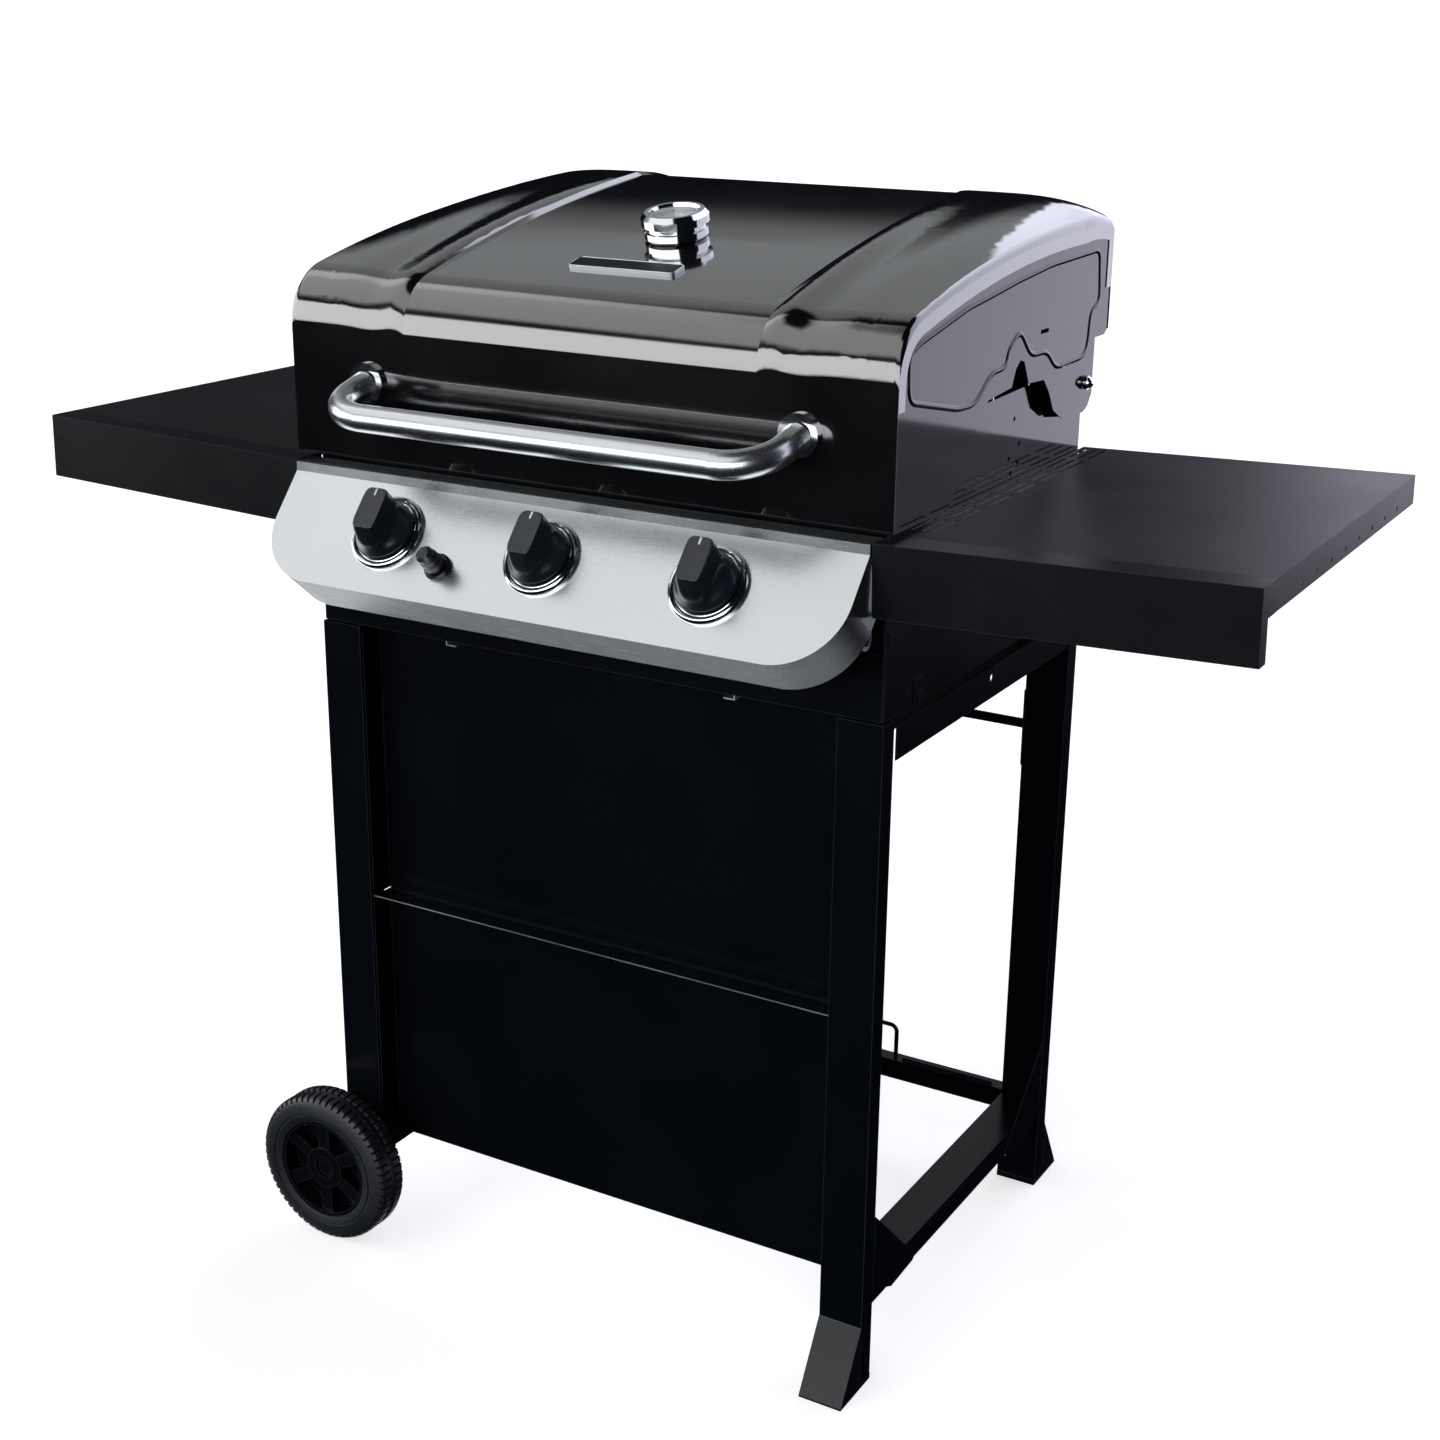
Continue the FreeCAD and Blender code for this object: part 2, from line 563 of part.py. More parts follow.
BUTTON_X = -104.5
BUTTON_DROP = 77.0
STEM_R = 4.0
SKIRT_R = 30.0
SKIRT_W = 5.8                 # underside of a knob above the panel face


def spun(x, s, profile):
    """Solid of revolution about the panel normal at x, s; profile is radius, height out."""
    base = [V(r, 0, w) for r, w in profile]
    solid = face_from(base).revolve(V(0, 0, 0), V(0, 0, 1), 360)
    turn = FreeCAD.Rotation(V(0, 0, 1), OUT)
    solid.Placement = FreeCAD.Placement(on_panel(x, s, 0), turn).multiply(solid.Placement)
    return solid


def knob(x):
    s = KNOB_DROP
    edge = [(0, SKIRT_W), (SKIRT_R, SKIRT_W), (SKIRT_R, 9), (SKIRT_R - 5, 17), (SKIRT_R - 8, 20), (0, 21)]
    skirt = spun(x, s, edge)
    low = [on_panel(x + a, s + b, 12) for a, b in GRIP_LOW]
    high = [on_panel(x + a, s + b, GRIP_HEIGHT) for a, b in GRIP_HIGH]
    grip = Part.makeLoft([Part.makePolygon(low + [low[0]]), Part.makePolygon(high + [high[0]])], True, True)
    bore = rod(on_panel(x, s, 0), OUT, STEM_R + FIT, 20)
    return joined([skirt, grip]).cut(bore)


GRIP_LOW = [(-13, -27), (13, -27), (15, 0), (13, 26), (-13, 26), (-15, 0)]
GRIP_HIGH = [(-9, -29), (9, -29), (10, 0), (9, GRIP_TIP), (-9, GRIP_TIP), (-10, 0)]


def stem(x):
    return rod(on_panel(x, KNOB_DROP, -30), OUT, STEM_R, 30 + 15.0)


def bezel(x):
    section = [(31, 0.1), (38.5, 0.1), (38.5, 3), (36.5, 5.5), (34, 6), (32.5, 4.2), (31, 4)]
    return spun(x, KNOB_DROP, section)


def ribbed_button():
    r = 8.0
    rib = 10.2
    first = 5 + BUTTON_PUSH + 0.4
    profile = [(0, -8), (r, -8), (r, first), (rib, first), (rib, first + 4), (r - 0.5, first + 5.5),
               (rib - 0.6, first + 7), (rib - 0.6, first + 11), (r - 1, first + 12.5),
               (rib - 1.6, first + 14), (rib - 1.6, first + 18), (5, first + 21), (0, first + 21.5)]
    return spun(BUTTON_X, BUTTON_DROP, profile)


def controls():
    for i, x in enumerate(KNOB_X):
        n = str(i + 1)
        put("knob_" + n, knob(x))
        put("valve_stem_" + n, stem(x))
    put("knob_bezels", [bezel(x) for x in KNOB_X])
    put("igniter_button", ribbed_button())
    bore = 8.0 + FIT
    put("igniter_body", spun(BUTTON_X, BUTTON_DROP, [(bore, -26), (11, -26), (11, 0.1), (13.5, 0.1),
                                                     (13.5, 3.5), (11.5, 5), (bore, 5)]))


def manifold():
    back = 64.0
    pipe_r = 9.5
    centre = on_panel(0, KNOB_DROP, -back)
    x0 = KNOB_X[0] - 45
    x1 = BODY_OUT - SHEET - 9
    pieces = [rod(V(x0, centre.y, centre.z), V(1, 0, 0), pipe_r, x1 - x0)]
    for x in KNOB_X:
        pieces.append(rod(on_panel(x, KNOB_DROP, -18), OUT * -1, 13, back - 18))
        mouth = V(x, -26, BURNER_Z)
        pieces.append(rod(mouth, V(0, 1, 0), 5, 18))
    solid = joined(pieces)
    bores = [rod(on_panel(x, KNOB_DROP, -32), OUT, STEM_R + FIT, 30) for x in KNOB_X]
    bores.append(rod(V(x1 - 20, centre.y, centre.z), V(1, 0, 0), INLET_BORE, 30))
    put("gas_manifold", without(solid, bores))


INLET_BORE = 6.0


# ---- lid -----------------------------------------------------------------------------------
CREASE_X = 184.0              # the flat middle of the lid ends here
CREASE_RUN = 6.0
CREASE_STEP = 3.0
SHOULDER_X = CREASE_X + CREASE_RUN
ROLL_RADIUS = 6.0
ROLL_X = LID_OUT - ROLL_RADIUS
TOP_SLOPE = math.atan(0.27)
BULGE = 7.9                   # rise of the top arc over its chord
REAR_DROP = 9.0               # from the ridge to the rear corner
CORNER_RADIUS = 6.0
SWELL = 3.0                   # rise of the shoulders beside the flat middle
MID_FALL = 12.0               # how far the lid falls towards its side folds
RIDGE_FALL = 25.0
REAR_FALL = 18.0
FALL_POWER = 4.5


def crown(x):
    """Height changes of the lid section at x: at the nose, mid-top, ridge and rear corner."""
    a = min(1.0, max(0.0, abs(x) - SHOULDER_X) / (LID_OUT - SHOULDER_X))
    step = CREASE_STEP * min(1.0, max(0.0, abs(x) - CREASE_X) / CREASE_RUN)
    fall = a ** FALL_POWER
    swell = SWELL * min(1.0, a / 0.6)
    roll = 0.0
    if abs(x) > ROLL_X:
        d = min(abs(x) - ROLL_X, ROLL_RADIUS)
        roll = ROLL_RADIUS - math.sqrt(ROLL_RADIUS ** 2 - d ** 2)
    mid = step + swell - MID_FALL * fall - roll
    return swell - roll, mid, step - RIDGE_FALL * fall - roll, step - REAR_FALL * fall - roll


def lid_outline(x, inset):
    """Points of the lid section at x: front, nose arc, top arc, rear arc and rear corner arc."""
    nose, mid, ridge, rear = crown(x)
    r = NOSE_RADIUS - inset
    cy = LID_FRONT + NOSE_RADIUS
    cz = NOSE_Z + nose
    c_angle = math.pi / 2 + TOP_SLOPE
    m_angle = (c_angle + math.pi) / 2
    start = (LID_FRONT + inset, cz)
    nose_mid = (cy + r * math.cos(m_angle), cz + r * math.sin(m_angle))
    nose_end = (cy + r * math.cos(c_angle), cz + r * math.sin(c_angle))
    top = (RIDGE_Y, LID_RIDGE + ridge - inset)
    bulge = BULGE + mid - (nose + ridge) / 2
    top_mid = ((nose_end[0] + top[0]) / 2, (nose_end[1] + top[1]) / 2 + bulge)
    corner = max(CORNER_RADIUS - inset, 0.5)
    corner_y = LID_BACK - inset - corner
    corner_z = LID_RIDGE - REAR_DROP + rear - inset
    rear_mid = ((top[0] + corner_y) / 2, (top[1] + corner_z) / 2 + REAR_DROP / 4)
    bend = corner * math.sqrt(0.5)
    corner_mid = (corner_y + bend, corner_z - corner + bend)
    back = (LID_BACK - inset, corner_z - corner)
    return start, nose_mid, nose_end, top_mid, top, rear_mid, (corner_y, corner_z), corner_mid, back


def outline_edges(x, inset):
    """Edges along the lid section at x, from its front line to its back line."""
    p = [V(x, y, z) for y, z in lid_outline(x, inset)]
    edges = [Part.Arc(p[i], p[i + 1], p[i + 2]).toShape() for i in (0, 2, 4, 6)]
    return p[0], edges, p[8]


def strip_wire(x):
    """Closed section of the lid skin at x."""
    front_o, outer, back_o = outline_edges(x, 0)
    front_i, inner, back_i = outline_edges(x, LID_SHEET)
    low_o = V(x, LID_FRONT, LID_LIP)
    low_i = V(x, LID_FRONT + LID_SHEET, LID_LIP)
    end_o = V(x, LID_BACK, LID_BOTTOM + 110)
    end_i = V(x, LID_BACK - LID_SHEET, LID_BOTTOM + 110)
    edges = [Part.makeLine(low_o, front_o)] + outer + [Part.makeLine(back_o, end_o)]
    edges += [Part.makeLine(end_o, end_i), Part.makeLine(end_i, back_i)] + inner[::-1]
    edges += [Part.makeLine(front_i, low_i), Part.makeLine(low_i, low_o)]
    return Part.Wire(Part.__sortEdges__(edges))


def lid_hood():
    centre = Part.Face(strip_wire(-CREASE_X)).extrude(V(2 * CREASE_X, 0, 0))
    crease = Part.makeLoft([strip_wire(CREASE_X), strip_wire(SHOULDER_X)], True, True)
    stations = [SHOULDER_X, 225, 255, 278, 295, 306, 313, ROLL_X]
    roll = [ROLL_X + ROLL_RADIUS * math.sin(math.radians(a)) for a in (0, 25, 48, 66, 80)]
    shoulder = Part.makeLoft([strip_wire(x) for x in stations], True, False)
    rolled = Part.makeLoft([strip_wire(x) for x in roll], True, False)
    skin = joined([centre] + both(crease) + both(shoulder) + both(rolled) + both(lid_flange()))
    tools = [rod(V(s * HANDLE_SPAN / 2, LID_FRONT - 3, HANDLE_Z), V(0, 1, 0), SCREW_R + FIT, 8)
             for s in (-1, 1)]
    tools.append(rod(THERMO_AT - THERMO_AXIS * 20, THERMO_AXIS, PROBE_R + FIT, 30))
    put("lid_hood", without(skin, tools))


HANDLE_Z = LID_BOTTOM + 71.0
LID_SIDE_IN = LID_OUT - ROLL_RADIUS * (1 - math.sin(math.radians(80))) - LID_SHEET
FLANGE = 13.0                 # width of the hood's edge folded over the side plate
FLANGE_LOW = LID_BOTTOM + 98.0
FLANGE_REAR = LID_BOTTOM + 152.0


def lid_flange():
    """Folded edge of the hood that lies over the side plate."""
    x = LID_OUT - 0.6
    front_o, outer, back_o = outline_edges(LID_OUT - 0.1, 0.3)
    front_i, inner, back_i = outline_edges(LID_OUT - 0.1, FLANGE)
    ends = [V(x, front_o.y, FLANGE_LOW), V(x, front_i.y, FLANGE_LOW), V(x, back_o.y, FLANGE_REAR),
            V(x, back_i.y, FLANGE_REAR)]
    arcs = []
    for edge in outer + inner:
        moved = edge.copy()
        moved.translate(V(x - LID_OUT + 0.1, 0, 0))
        arcs.append(moved)
    tips = [V(x, p.y, p.z) for p in (front_o, front_i, back_o, back_i)]
    lines = [Part.makeLine(end, tip) for end, tip in zip(ends, tips)]
    lines += [Part.makeLine(ends[0], ends[1]), Part.makeLine(ends[2], ends[3])]
    wire = Part.Wire(Part.__sortEdges__(arcs + lines))
    return Part.Face(wire).extrude(V(0.6, 0, 0))


def lid_side():
    x = LID_SIDE_IN - 0.8
    inset = LID_SHEET + 0.3
    z0 = SKIRT_Z
    hz = HINGE_Z
    low = [(LID_BACK - inset, z0 + 115), (LID_BACK - 8, z0 + 110), (HINGE_Y + 22, z0 + 110),
           (HINGE_Y + 22, hz - 14), (HINGE_Y + 12, hz - 26), (HINGE_Y, hz - 30), (363, hz - 28),
           (338, hz - 16), (324, hz + 4), (309, hz + 18), (271, hz + 20), (258, hz + 42),
           (248, hz + 45), (238, hz + 38), (230, hz + 22), (177, hz + 18), (168, hz + 10),
           (97, z0), (LID_FRONT + inset, z0)]
    front, edges, back = outline_edges(LID_OUT - 0.2, inset)
    shift = V(x - LID_OUT + 0.2, 0, 0)
    for edge in edges:
        edge.translate(shift)
    pts = [V(x, y, z) for y, z in low]
    edges.append(Part.makeLine(back + shift, pts[0]))
    for a, b in zip(pts[:-1], pts[1:]):
        edges.append(Part.makeLine(a, b))
    edges.append(Part.makeLine(pts[-1], front + shift))
    plate = Part.Face(Part.Wire(Part.__sortEdges__(edges))).extrude(V(LID_SHEET, 0, 0))
    pin = rod(V(x - 3, HINGE_Y, hz), V(1, 0, 0), PIN_R + FIT, 10)
    slot = box(x - 3, x + 6, 294, 314, hz + 63, hz + 67)
    return without(plate, [pin, slot])


def lid_parts():
    lid_hood()
    put("lid_sides", both(lid_side()))
    x_in = BOX_OUT - 3
    shank = rod(V(x_in, HINGE_Y, HINGE_Z), V(1, 0, 0), PIN_R, LID_OUT + 2 - x_in)
    collar = rod(V(BOX_OUT + 0.2, HINGE_Y, HINGE_Z), V(1, 0, 0), 7, LID_SIDE_IN - BOX_OUT - 1.4)
    head = rod(V(LID_OUT + GAP, HINGE_Y, HINGE_Z), V(1, 0, 0), 7, 3)
    dome = Part.makeSphere(6.0, V(LID_OUT + GAP + 2.4, HINGE_Y, HINGE_Z))
    dome = dome.common(box(LID_OUT + GAP, LID_OUT + 20, HINGE_Y - 9, HINGE_Y + 9, HINGE_Z - 9, HINGE_Z + 9))
    put("hinge_pins", both(joined([shank, collar, head, dome])))


def handle_path(start, bend):
    """Centre line of the handle from its left end to its right end."""
    x = HANDLE_SPAN / 2
    length = math.hypot(HANDLE_REACH, HANDLE_DROP)
    d = V(0, -HANDLE_REACH / length, -HANDLE_DROP / length)
    root = V(0, LID_FRONT, HANDLE_Z)
    k = 1 - math.sqrt(0.5)

    def at(px, along):
        return root + V(px, 0, 0) + d * along
    left = [at(-x, start), at(-x, length - bend), at(-x + bend * k, length - bend * k),
            at(-x + bend, length)]
    right = [at(x - bend, length), at(x - bend * k, length - bend * k), at(x, length - bend),
             at(x, start)]
    wire = Part.Wire([Part.makeLine(left[0], left[1]), Part.Arc(left[1], left[2], left[3]).toShape(),
                      Part.makeLine(left[3], right[0]),
                      Part.Arc(right[0], right[1], right[2]).toShape(),
                      Part.makeLine(right[2], right[3])])
    return wire, left[0], d


def handle_solid(radius, start):
    wire, origin, d = handle_path(start, HANDLE_BEND)
    ring = Part.Wire(Part.makeCircle(radius, origin, d))
    return wire.makePipeShell([ring], True, False)


def handle():
    tube = handle_solid(HANDLE_RADIUS, 4.2)
    put("lid_handle", tube.cut(handle_solid(HANDLE_RADIUS - 1.5, 4.2)))
    d = handle_path(0, HANDLE_BEND)[2]
    collars = []
    for s in (-1, 1):
        ring = rod(V(s * HANDLE_SPAN / 2, LID_FRONT - 0.2, HANDLE_Z), V(0, -1, 0), 19.5, 4.5)
        seat = V(s * HANDLE_SPAN / 2, LID_FRONT, HANDLE_Z)
        collars.append(ring.cut(rod(seat - d * 10, d, HANDLE_RADIUS + FIT, 40)))
    put("handle_collars", collars)


THERMO_Y = 168.0
THERMO_Z = NOSE_Z + 85.7
THERMO_SLOPE = math.atan(0.205)
THERMO_AXIS = V(0, -math.sin(THERMO_SLOPE), math.cos(THERMO_SLOPE))
THERMO_AT = V(0, THERMO_Y, THERMO_Z)
PROBE_R = 3.5


def spun_on(point, axis, profile):
    solid = face_from([V(r, 0, w) for r, w in profile]).revolve(V(0, 0, 0), V(0, 0, 1), 360)
    turn = FreeCAD.Rotation(V(0, 0, 1), axis)
    solid.Placement = FreeCAD.Placement(point, turn).multiply(solid.Placement)
    return solid


def lid_fittings():
    probe = [(0, -55), (PROBE_R, -55), (PROBE_R, 0.6)]
    base = [(29, 0.6), (31, 3), (31, 9), (28.5, 10), (28.5, 13)]
    rim = [(33, 15), (33, 22), (29, 26.5), (25, 26.5), (24, 23), (24, 17.2), (0, 17.2)]
    put("thermometer_case", spun_on(THERMO_AT, THERMO_AXIS, probe + base + rim))


# ---- shelves -------------------------------------------------------------------------------
SHELF_IN = PANEL_HALF + 0.5
SHELF_OUT = OVERALL_WIDTH / 2
SHELF_Y0 = 5.0


def tilted(shape):
    return turned(shape, V(SHELF_IN, 0, SHELF_TOP), V(0, 1, 0), -SHELF_TILT)


def flat_out():
    """End of the shelf before tilting, so the fascia's low corner lands on the overall width."""
    t = math.radians(SHELF_TILT)
    return SHELF_IN + (SHELF_OUT - SHELF_IN - FASCIA_HEIGHT * math.sin(t)) / math.cos(t)


def shelf():
    x1 = flat_out() - 0.3
    y1 = SHELF_Y0 + SHELF_DEPTH
    top = SHELF_TOP
    outer = box(SHELF_IN, x1, SHELF_Y0, y1, top - SHELF_EDGE, top)
    room = box(SHELF_IN - 5, x1 - 1, SHELF_Y0 + 1, y1 - 1, top - SHELF_EDGE - 1, top - 1)
    skirt_cut = box(SHELF_IN - 5, SHELF_IN + 7, SHELF_Y0 - 1, y1 + 1, top - SHELF_EDGE - 1, top - 1)
    cuts = [room, skirt_cut]
    for x in (321, 331, 341):
        for i in range(7):
            y = 34 + 61 * i
            cuts.append(box(x - 1.3, x + 1.3, y, y + 50, top - 3, top + 1))
    for i in range(8):
        cuts.append(rod(V(x1 - 3, 78 + 45 * i, top - 20), V(1, 0, 0), 2.2, 6))
    return tilted(without(outer, cuts))


def fascia():
    x1 = flat_out()
    z1 = SHELF_TOP
    z0 = z1 - FASCIA_HEIGHT
    y0 = -30.0
    front = box(SHELF_IN, x1, y0, y0 + 3, z0, z1)
    top = box(SHELF_IN, x1, y0, SHELF_Y0 - 0.3, z1 - 2.5, z1)
    low = box(SHELF_IN, x1, y0, y0 + 16, z0, z0 + 2.5)
    end = plate_x([(y0, z1), (SHELF_Y0 - 0.3, z1), (SHELF_Y0 - 0.3, z1 - SHELF_EDGE),
                   (y0 + 16, z1 - SHELF_EDGE), (y0 + 16, z0), (y0, z0)], x1 - 2.5, 2.5)
    return tilted(joined([front, top, low, end]))


def shelf_bars():
    bars = []
    for y in (SHELF_Y0 + 2, SHELF_Y0 + SHELF_DEPTH - 18):
        bar = box(BODY_OUT + 0.5, SHELF_OUT - 60, y, y + 16, SHELF_TOP - 17, SHELF_TOP - 1.3)
        bar = bar.cut(box(BODY_OUT - 1, SHELF_OUT, y + SHEET, y + 17, SHELF_TOP - 17 + SHEET, SHELF_TOP))
        bars.append(tilted(bar))
    return bars


def shelves():
    put("side_shelves", both(shelf()))
    put("shelf_fascias", both(fascia()))
    put("shelf_supports", shelf_bars() + [mirrored(b) for b in shelf_bars()])


# ---- fasteners -----------------------------------------------------------------------------
def screw(seat, axis, head_r, length):
    """Domed screw: seat is the point under the head, axis points out of the surface."""
    head = rod(seat, axis, head_r, 1.6)
    top = rod(seat + axis * 1.5, axis, head_r * 0.7, 1.4)
    shank = rod(seat - axis * length, axis, SCREW_R, length + 0.5)
    return joined([head, top, shank])


def fasteners():
    out = V(1, 0, 0)
    side = []
    for y in TAB_Y:
        side.append(screw(V(LEG_OUT + 0.1, y + 7.5, TAB_HOLE_Z), out, 5, 5))
    side.append(screw(V(BODY_OUT + 0.1, 9, LEG_TOP + 77), out, 5, 1.4))
    put("body_screws", side + [mirrored(s) for s in side])
    bolts = [screw(V(s * HANDLE_SPAN / 2, LID_FRONT + LID_SHEET + 0.1, HANDLE_Z), V(0, 1, 0), 6, 14)
             for s in (-1, 1)]
    put("handle_screws", bolts)


def build():
    os.makedirs("parts", exist_ok=True)
    legs_and_feet()
    rails()
    rear_rails()
    front_panels()
    wheels()
    body()
    firebox()
    cooking_parts()
    warming_rack()
    grease_parts()
    control_panel()
    controls()
    manifold()
    lid_parts()
    handle()
    lid_fittings()
    shelves()
    fasteners()


build()
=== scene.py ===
import bpy
import bmesh
import json
import math
from mathutils import Matrix, Vector


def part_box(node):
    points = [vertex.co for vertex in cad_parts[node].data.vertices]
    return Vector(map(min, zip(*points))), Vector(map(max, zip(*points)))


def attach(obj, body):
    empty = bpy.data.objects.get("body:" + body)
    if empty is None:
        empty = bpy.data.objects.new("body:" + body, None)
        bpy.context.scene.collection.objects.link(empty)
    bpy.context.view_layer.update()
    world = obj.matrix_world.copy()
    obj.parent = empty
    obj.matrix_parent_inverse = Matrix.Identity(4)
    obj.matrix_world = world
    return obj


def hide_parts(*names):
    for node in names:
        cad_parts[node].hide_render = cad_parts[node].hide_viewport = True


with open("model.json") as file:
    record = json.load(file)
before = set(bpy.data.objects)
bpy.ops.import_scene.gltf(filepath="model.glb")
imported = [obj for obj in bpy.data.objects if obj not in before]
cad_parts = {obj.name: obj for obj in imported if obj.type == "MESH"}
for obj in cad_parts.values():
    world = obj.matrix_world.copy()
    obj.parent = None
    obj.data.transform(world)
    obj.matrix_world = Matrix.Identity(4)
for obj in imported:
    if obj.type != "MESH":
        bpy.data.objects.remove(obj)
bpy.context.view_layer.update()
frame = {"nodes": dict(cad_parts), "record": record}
scene = bpy.context.scene
MM = 0.001


# ---- camera --------------------------------------------------------------------------------
CAMERA_PLACE = (1.0841, -1.8252, 1.2939)
CAMERA_AZIMUTH = 0.5238       # radians to the right of the front
CAMERA_ELEVATION = 0.3258     # radians above the object
CAMERA_ROLL = 0.0114
CAMERA_LENS = 53.66


def make_camera():
    """Camera at the photograph's angle: 30 degrees to the right of the front, 18.7 degrees down."""
    azimuth, elevation, roll = CAMERA_AZIMUTH, CAMERA_ELEVATION, CAMERA_ROLL
    back = Vector((math.sin(azimuth) * math.cos(elevation), -math.cos(azimuth) * math.cos(elevation),
                   math.sin(elevation)))
    right = (-back).cross(Vector((0, 0, 1))).normalized()
    up = back.cross(right)
    x_axis = right * math.cos(roll) + up * math.sin(roll)
    y_axis = up * math.cos(roll) - right * math.sin(roll)
    data = bpy.data.cameras.new("camera")
    data.lens = CAMERA_LENS
    data.sensor_width = 36.0
    data.clip_end = 100.0
    camera = bpy.data.objects.new("camera", data)
    scene.collection.objects.link(camera)
    turn = Matrix((x_axis, y_axis, back)).transposed().to_4x4()
    camera.matrix_world = Matrix.Translation(CAMERA_PLACE) @ turn
    scene.camera = camera


# ---- light ---------------------------------------------------------------------------------
class Graph:
    """Small helper that builds a node tree from nothing."""

    def __init__(self, tree):
        self.tree = tree
        tree.nodes.clear()

    def new(self, kind, **settings):
        node = self.tree.nodes.new(kind)
        for key, value in settings.items():
            setattr(node, key, value)
        return node

    def link(self, a, b):
        self.tree.links.new(a, b)

    def put(self, socket, value):
        if isinstance(value, bpy.types.NodeSocket):
            self.link(value, socket)
        else:
            socket.default_value = value

    def math(self, op, a, b=0.0, clamp=False):
        node = self.new("ShaderNodeMath", operation=op, use_clamp=clamp)
        self.put(node.inputs[0], a)
        self.put(node.inputs[1], b)
        return node.outputs[0]

    def ramp(self, value, from_min, from_max, to_min=0.0, to_max=1.0, smooth=True):
        node = self.new("ShaderNodeMapRange")
        node.interpolation_type = "SMOOTHSTEP" if smooth else "LINEAR"
        for key, item in (("Value", value), ("From Min", from_min), ("From Max", from_max),
                          ("To Min", to_min), ("To Max", to_max)):
            self.put(node.inputs[key], item)
        return node.outputs[0]

    def mix(self, factor, a, b):
        node = self.new("ShaderNodeMix", data_type="RGBA")
        self.put(node.inputs[0], factor)
        self.put(node.inputs[6], a)
        self.put(node.inputs[7], b)
        return node.outputs[2]


# Soft boxes drawn in the world. Azimuth from the front (0) towards the right (+), elevation, half width,
# half height and softness are in degrees; then strength and colour.
PANELS = [
    (-30, 9, 60, 12, 3, 3.4, (0.96, 0.98, 1.0)),
    (-48, 47, 55, 12, 9, 1.15, (1.0, 1.0, 1.0)),
    (-143, 40, 50, 12, 9, 0.4, (0.93, 0.97, 1.0)),
    (-134, -49, 40, 16, 12, 1.1, (0.95, 0.97, 1.0)),
    (150, 22, 44, 33, 2, 1.7, (0.84, 0.84, 1.0)),
]


ROOM_LIGHT = (0.004, 0.005, 0.007)
FLOOR_SIZE = 14.0             # metres from the middle to an edge
FLOOR_GLOW = 0.62


def make_world():
    world = bpy.data.worlds.new("studio")
    scene.world = world
    world.use_nodes = True
    g = Graph(world.node_tree)
    coord = g.new("ShaderNodeTexCoord")
    split = g.new("ShaderNodeSeparateXYZ")
    g.link(coord.outputs["Generated"], split.inputs[0])
    x, y, z = split.outputs
    elevation = g.math("MULTIPLY", g.math("ARCSINE", z), 180 / math.pi)
    total = None
    for az, el, half_az, half_el, soft, strength, colour in PANELS:
        a = math.radians(az)
        # horizontal angle between the direction looked in and the panel
        side = g.math("ADD", g.math("MULTIPLY", x, math.cos(a)), g.math("MULTIPLY", y, math.sin(a)))
        ahead = g.math("SUBTRACT", g.math("MULTIPLY", x, math.sin(a)), g.math("MULTIPLY", y, math.cos(a)))
        off = g.math("MULTIPLY", g.math("ABSOLUTE", g.math("ARCTAN2", side, ahead)), 180 / math.pi)
        wide = g.ramp(off, half_az + soft, half_az)
        high = g.ramp(g.math("ABSOLUTE", g.math("SUBTRACT", elevation, el)), half_el + soft, half_el)
        value = g.math("MULTIPLY", g.math("MULTIPLY", wide, high), strength)
        tint = g.new("ShaderNodeVectorMath", operation="SCALE")
        tint.inputs[0].default_value = colour
        g.link(value, tint.inputs["Scale"])
        if total is None:
            total = tint.outputs[0]
        else:
            add = g.new("ShaderNodeVectorMath", operation="ADD")
            g.link(total, add.inputs[0])
            g.link(tint.outputs[0], add.inputs[1])
            total = add.outputs[0]
    base = g.new("ShaderNodeVectorMath", operation="ADD")
    base.inputs[1].default_value = ROOM_LIGHT
    g.link(total, base.inputs[0])
    studio = g.new("ShaderNodeBackground")
    g.link(base.outputs[0], studio.inputs["Color"])
    white = g.new("ShaderNodeBackground")
    white.inputs["Color"].default_value = (1, 1, 1, 1)
    path = g.new("ShaderNodeLightPath")
    swap = g.new("ShaderNodeMixShader")
    g.link(path.outputs["Is Camera Ray"], swap.inputs[0])
    g.link(studio.outputs[0], swap.inputs[1])
    g.link(white.outputs[0], swap.inputs[2])
    out = g.new("ShaderNodeOutputWorld")
    g.link(swap.outputs[0], out.inputs["Surface"])


def make_floor():
    mesh = bpy.data.meshes.new("floor")
    bm = bmesh.new()
    bmesh.ops.create_grid(bm, x_segments=8, y_segments=8, size=FLOOR_SIZE)
    bm.to_mesh(mesh)
    floor = bpy.data.objects.new("floor", mesh)
    scene.collection.objects.link(floor)
    material = bpy.data.materials.new("pale_floor")
    material.use_nodes = True
    g = Graph(material.node_tree)
    noise = g.new("ShaderNodeTexNoise")
    noise.inputs["Scale"].default_value = 3.0
    shade = g.new("ShaderNodeBsdfDiffuse")
    grey = g.mix(noise.outputs["Fac"], (0.80, 0.80, 0.80, 1), (0.84, 0.84, 0.84, 1))
    g.link(grey, shade.inputs["Color"])
    glow = g.new("ShaderNodeEmission")
    glow.inputs["Strength"].default_value = FLOOR_GLOW
    add = g.new("ShaderNodeAddShader")
    g.link(shade.outputs[0], add.inputs[0])
    g.link(glow.outputs[0], add.inputs[1])
    out = g.new("ShaderNodeOutputMaterial")
    g.link(add.outputs[0], out.inputs["Surface"])
    mesh.materials.append(material)
    floor.visible_glossy = False
    floor.visible_diffuse = False


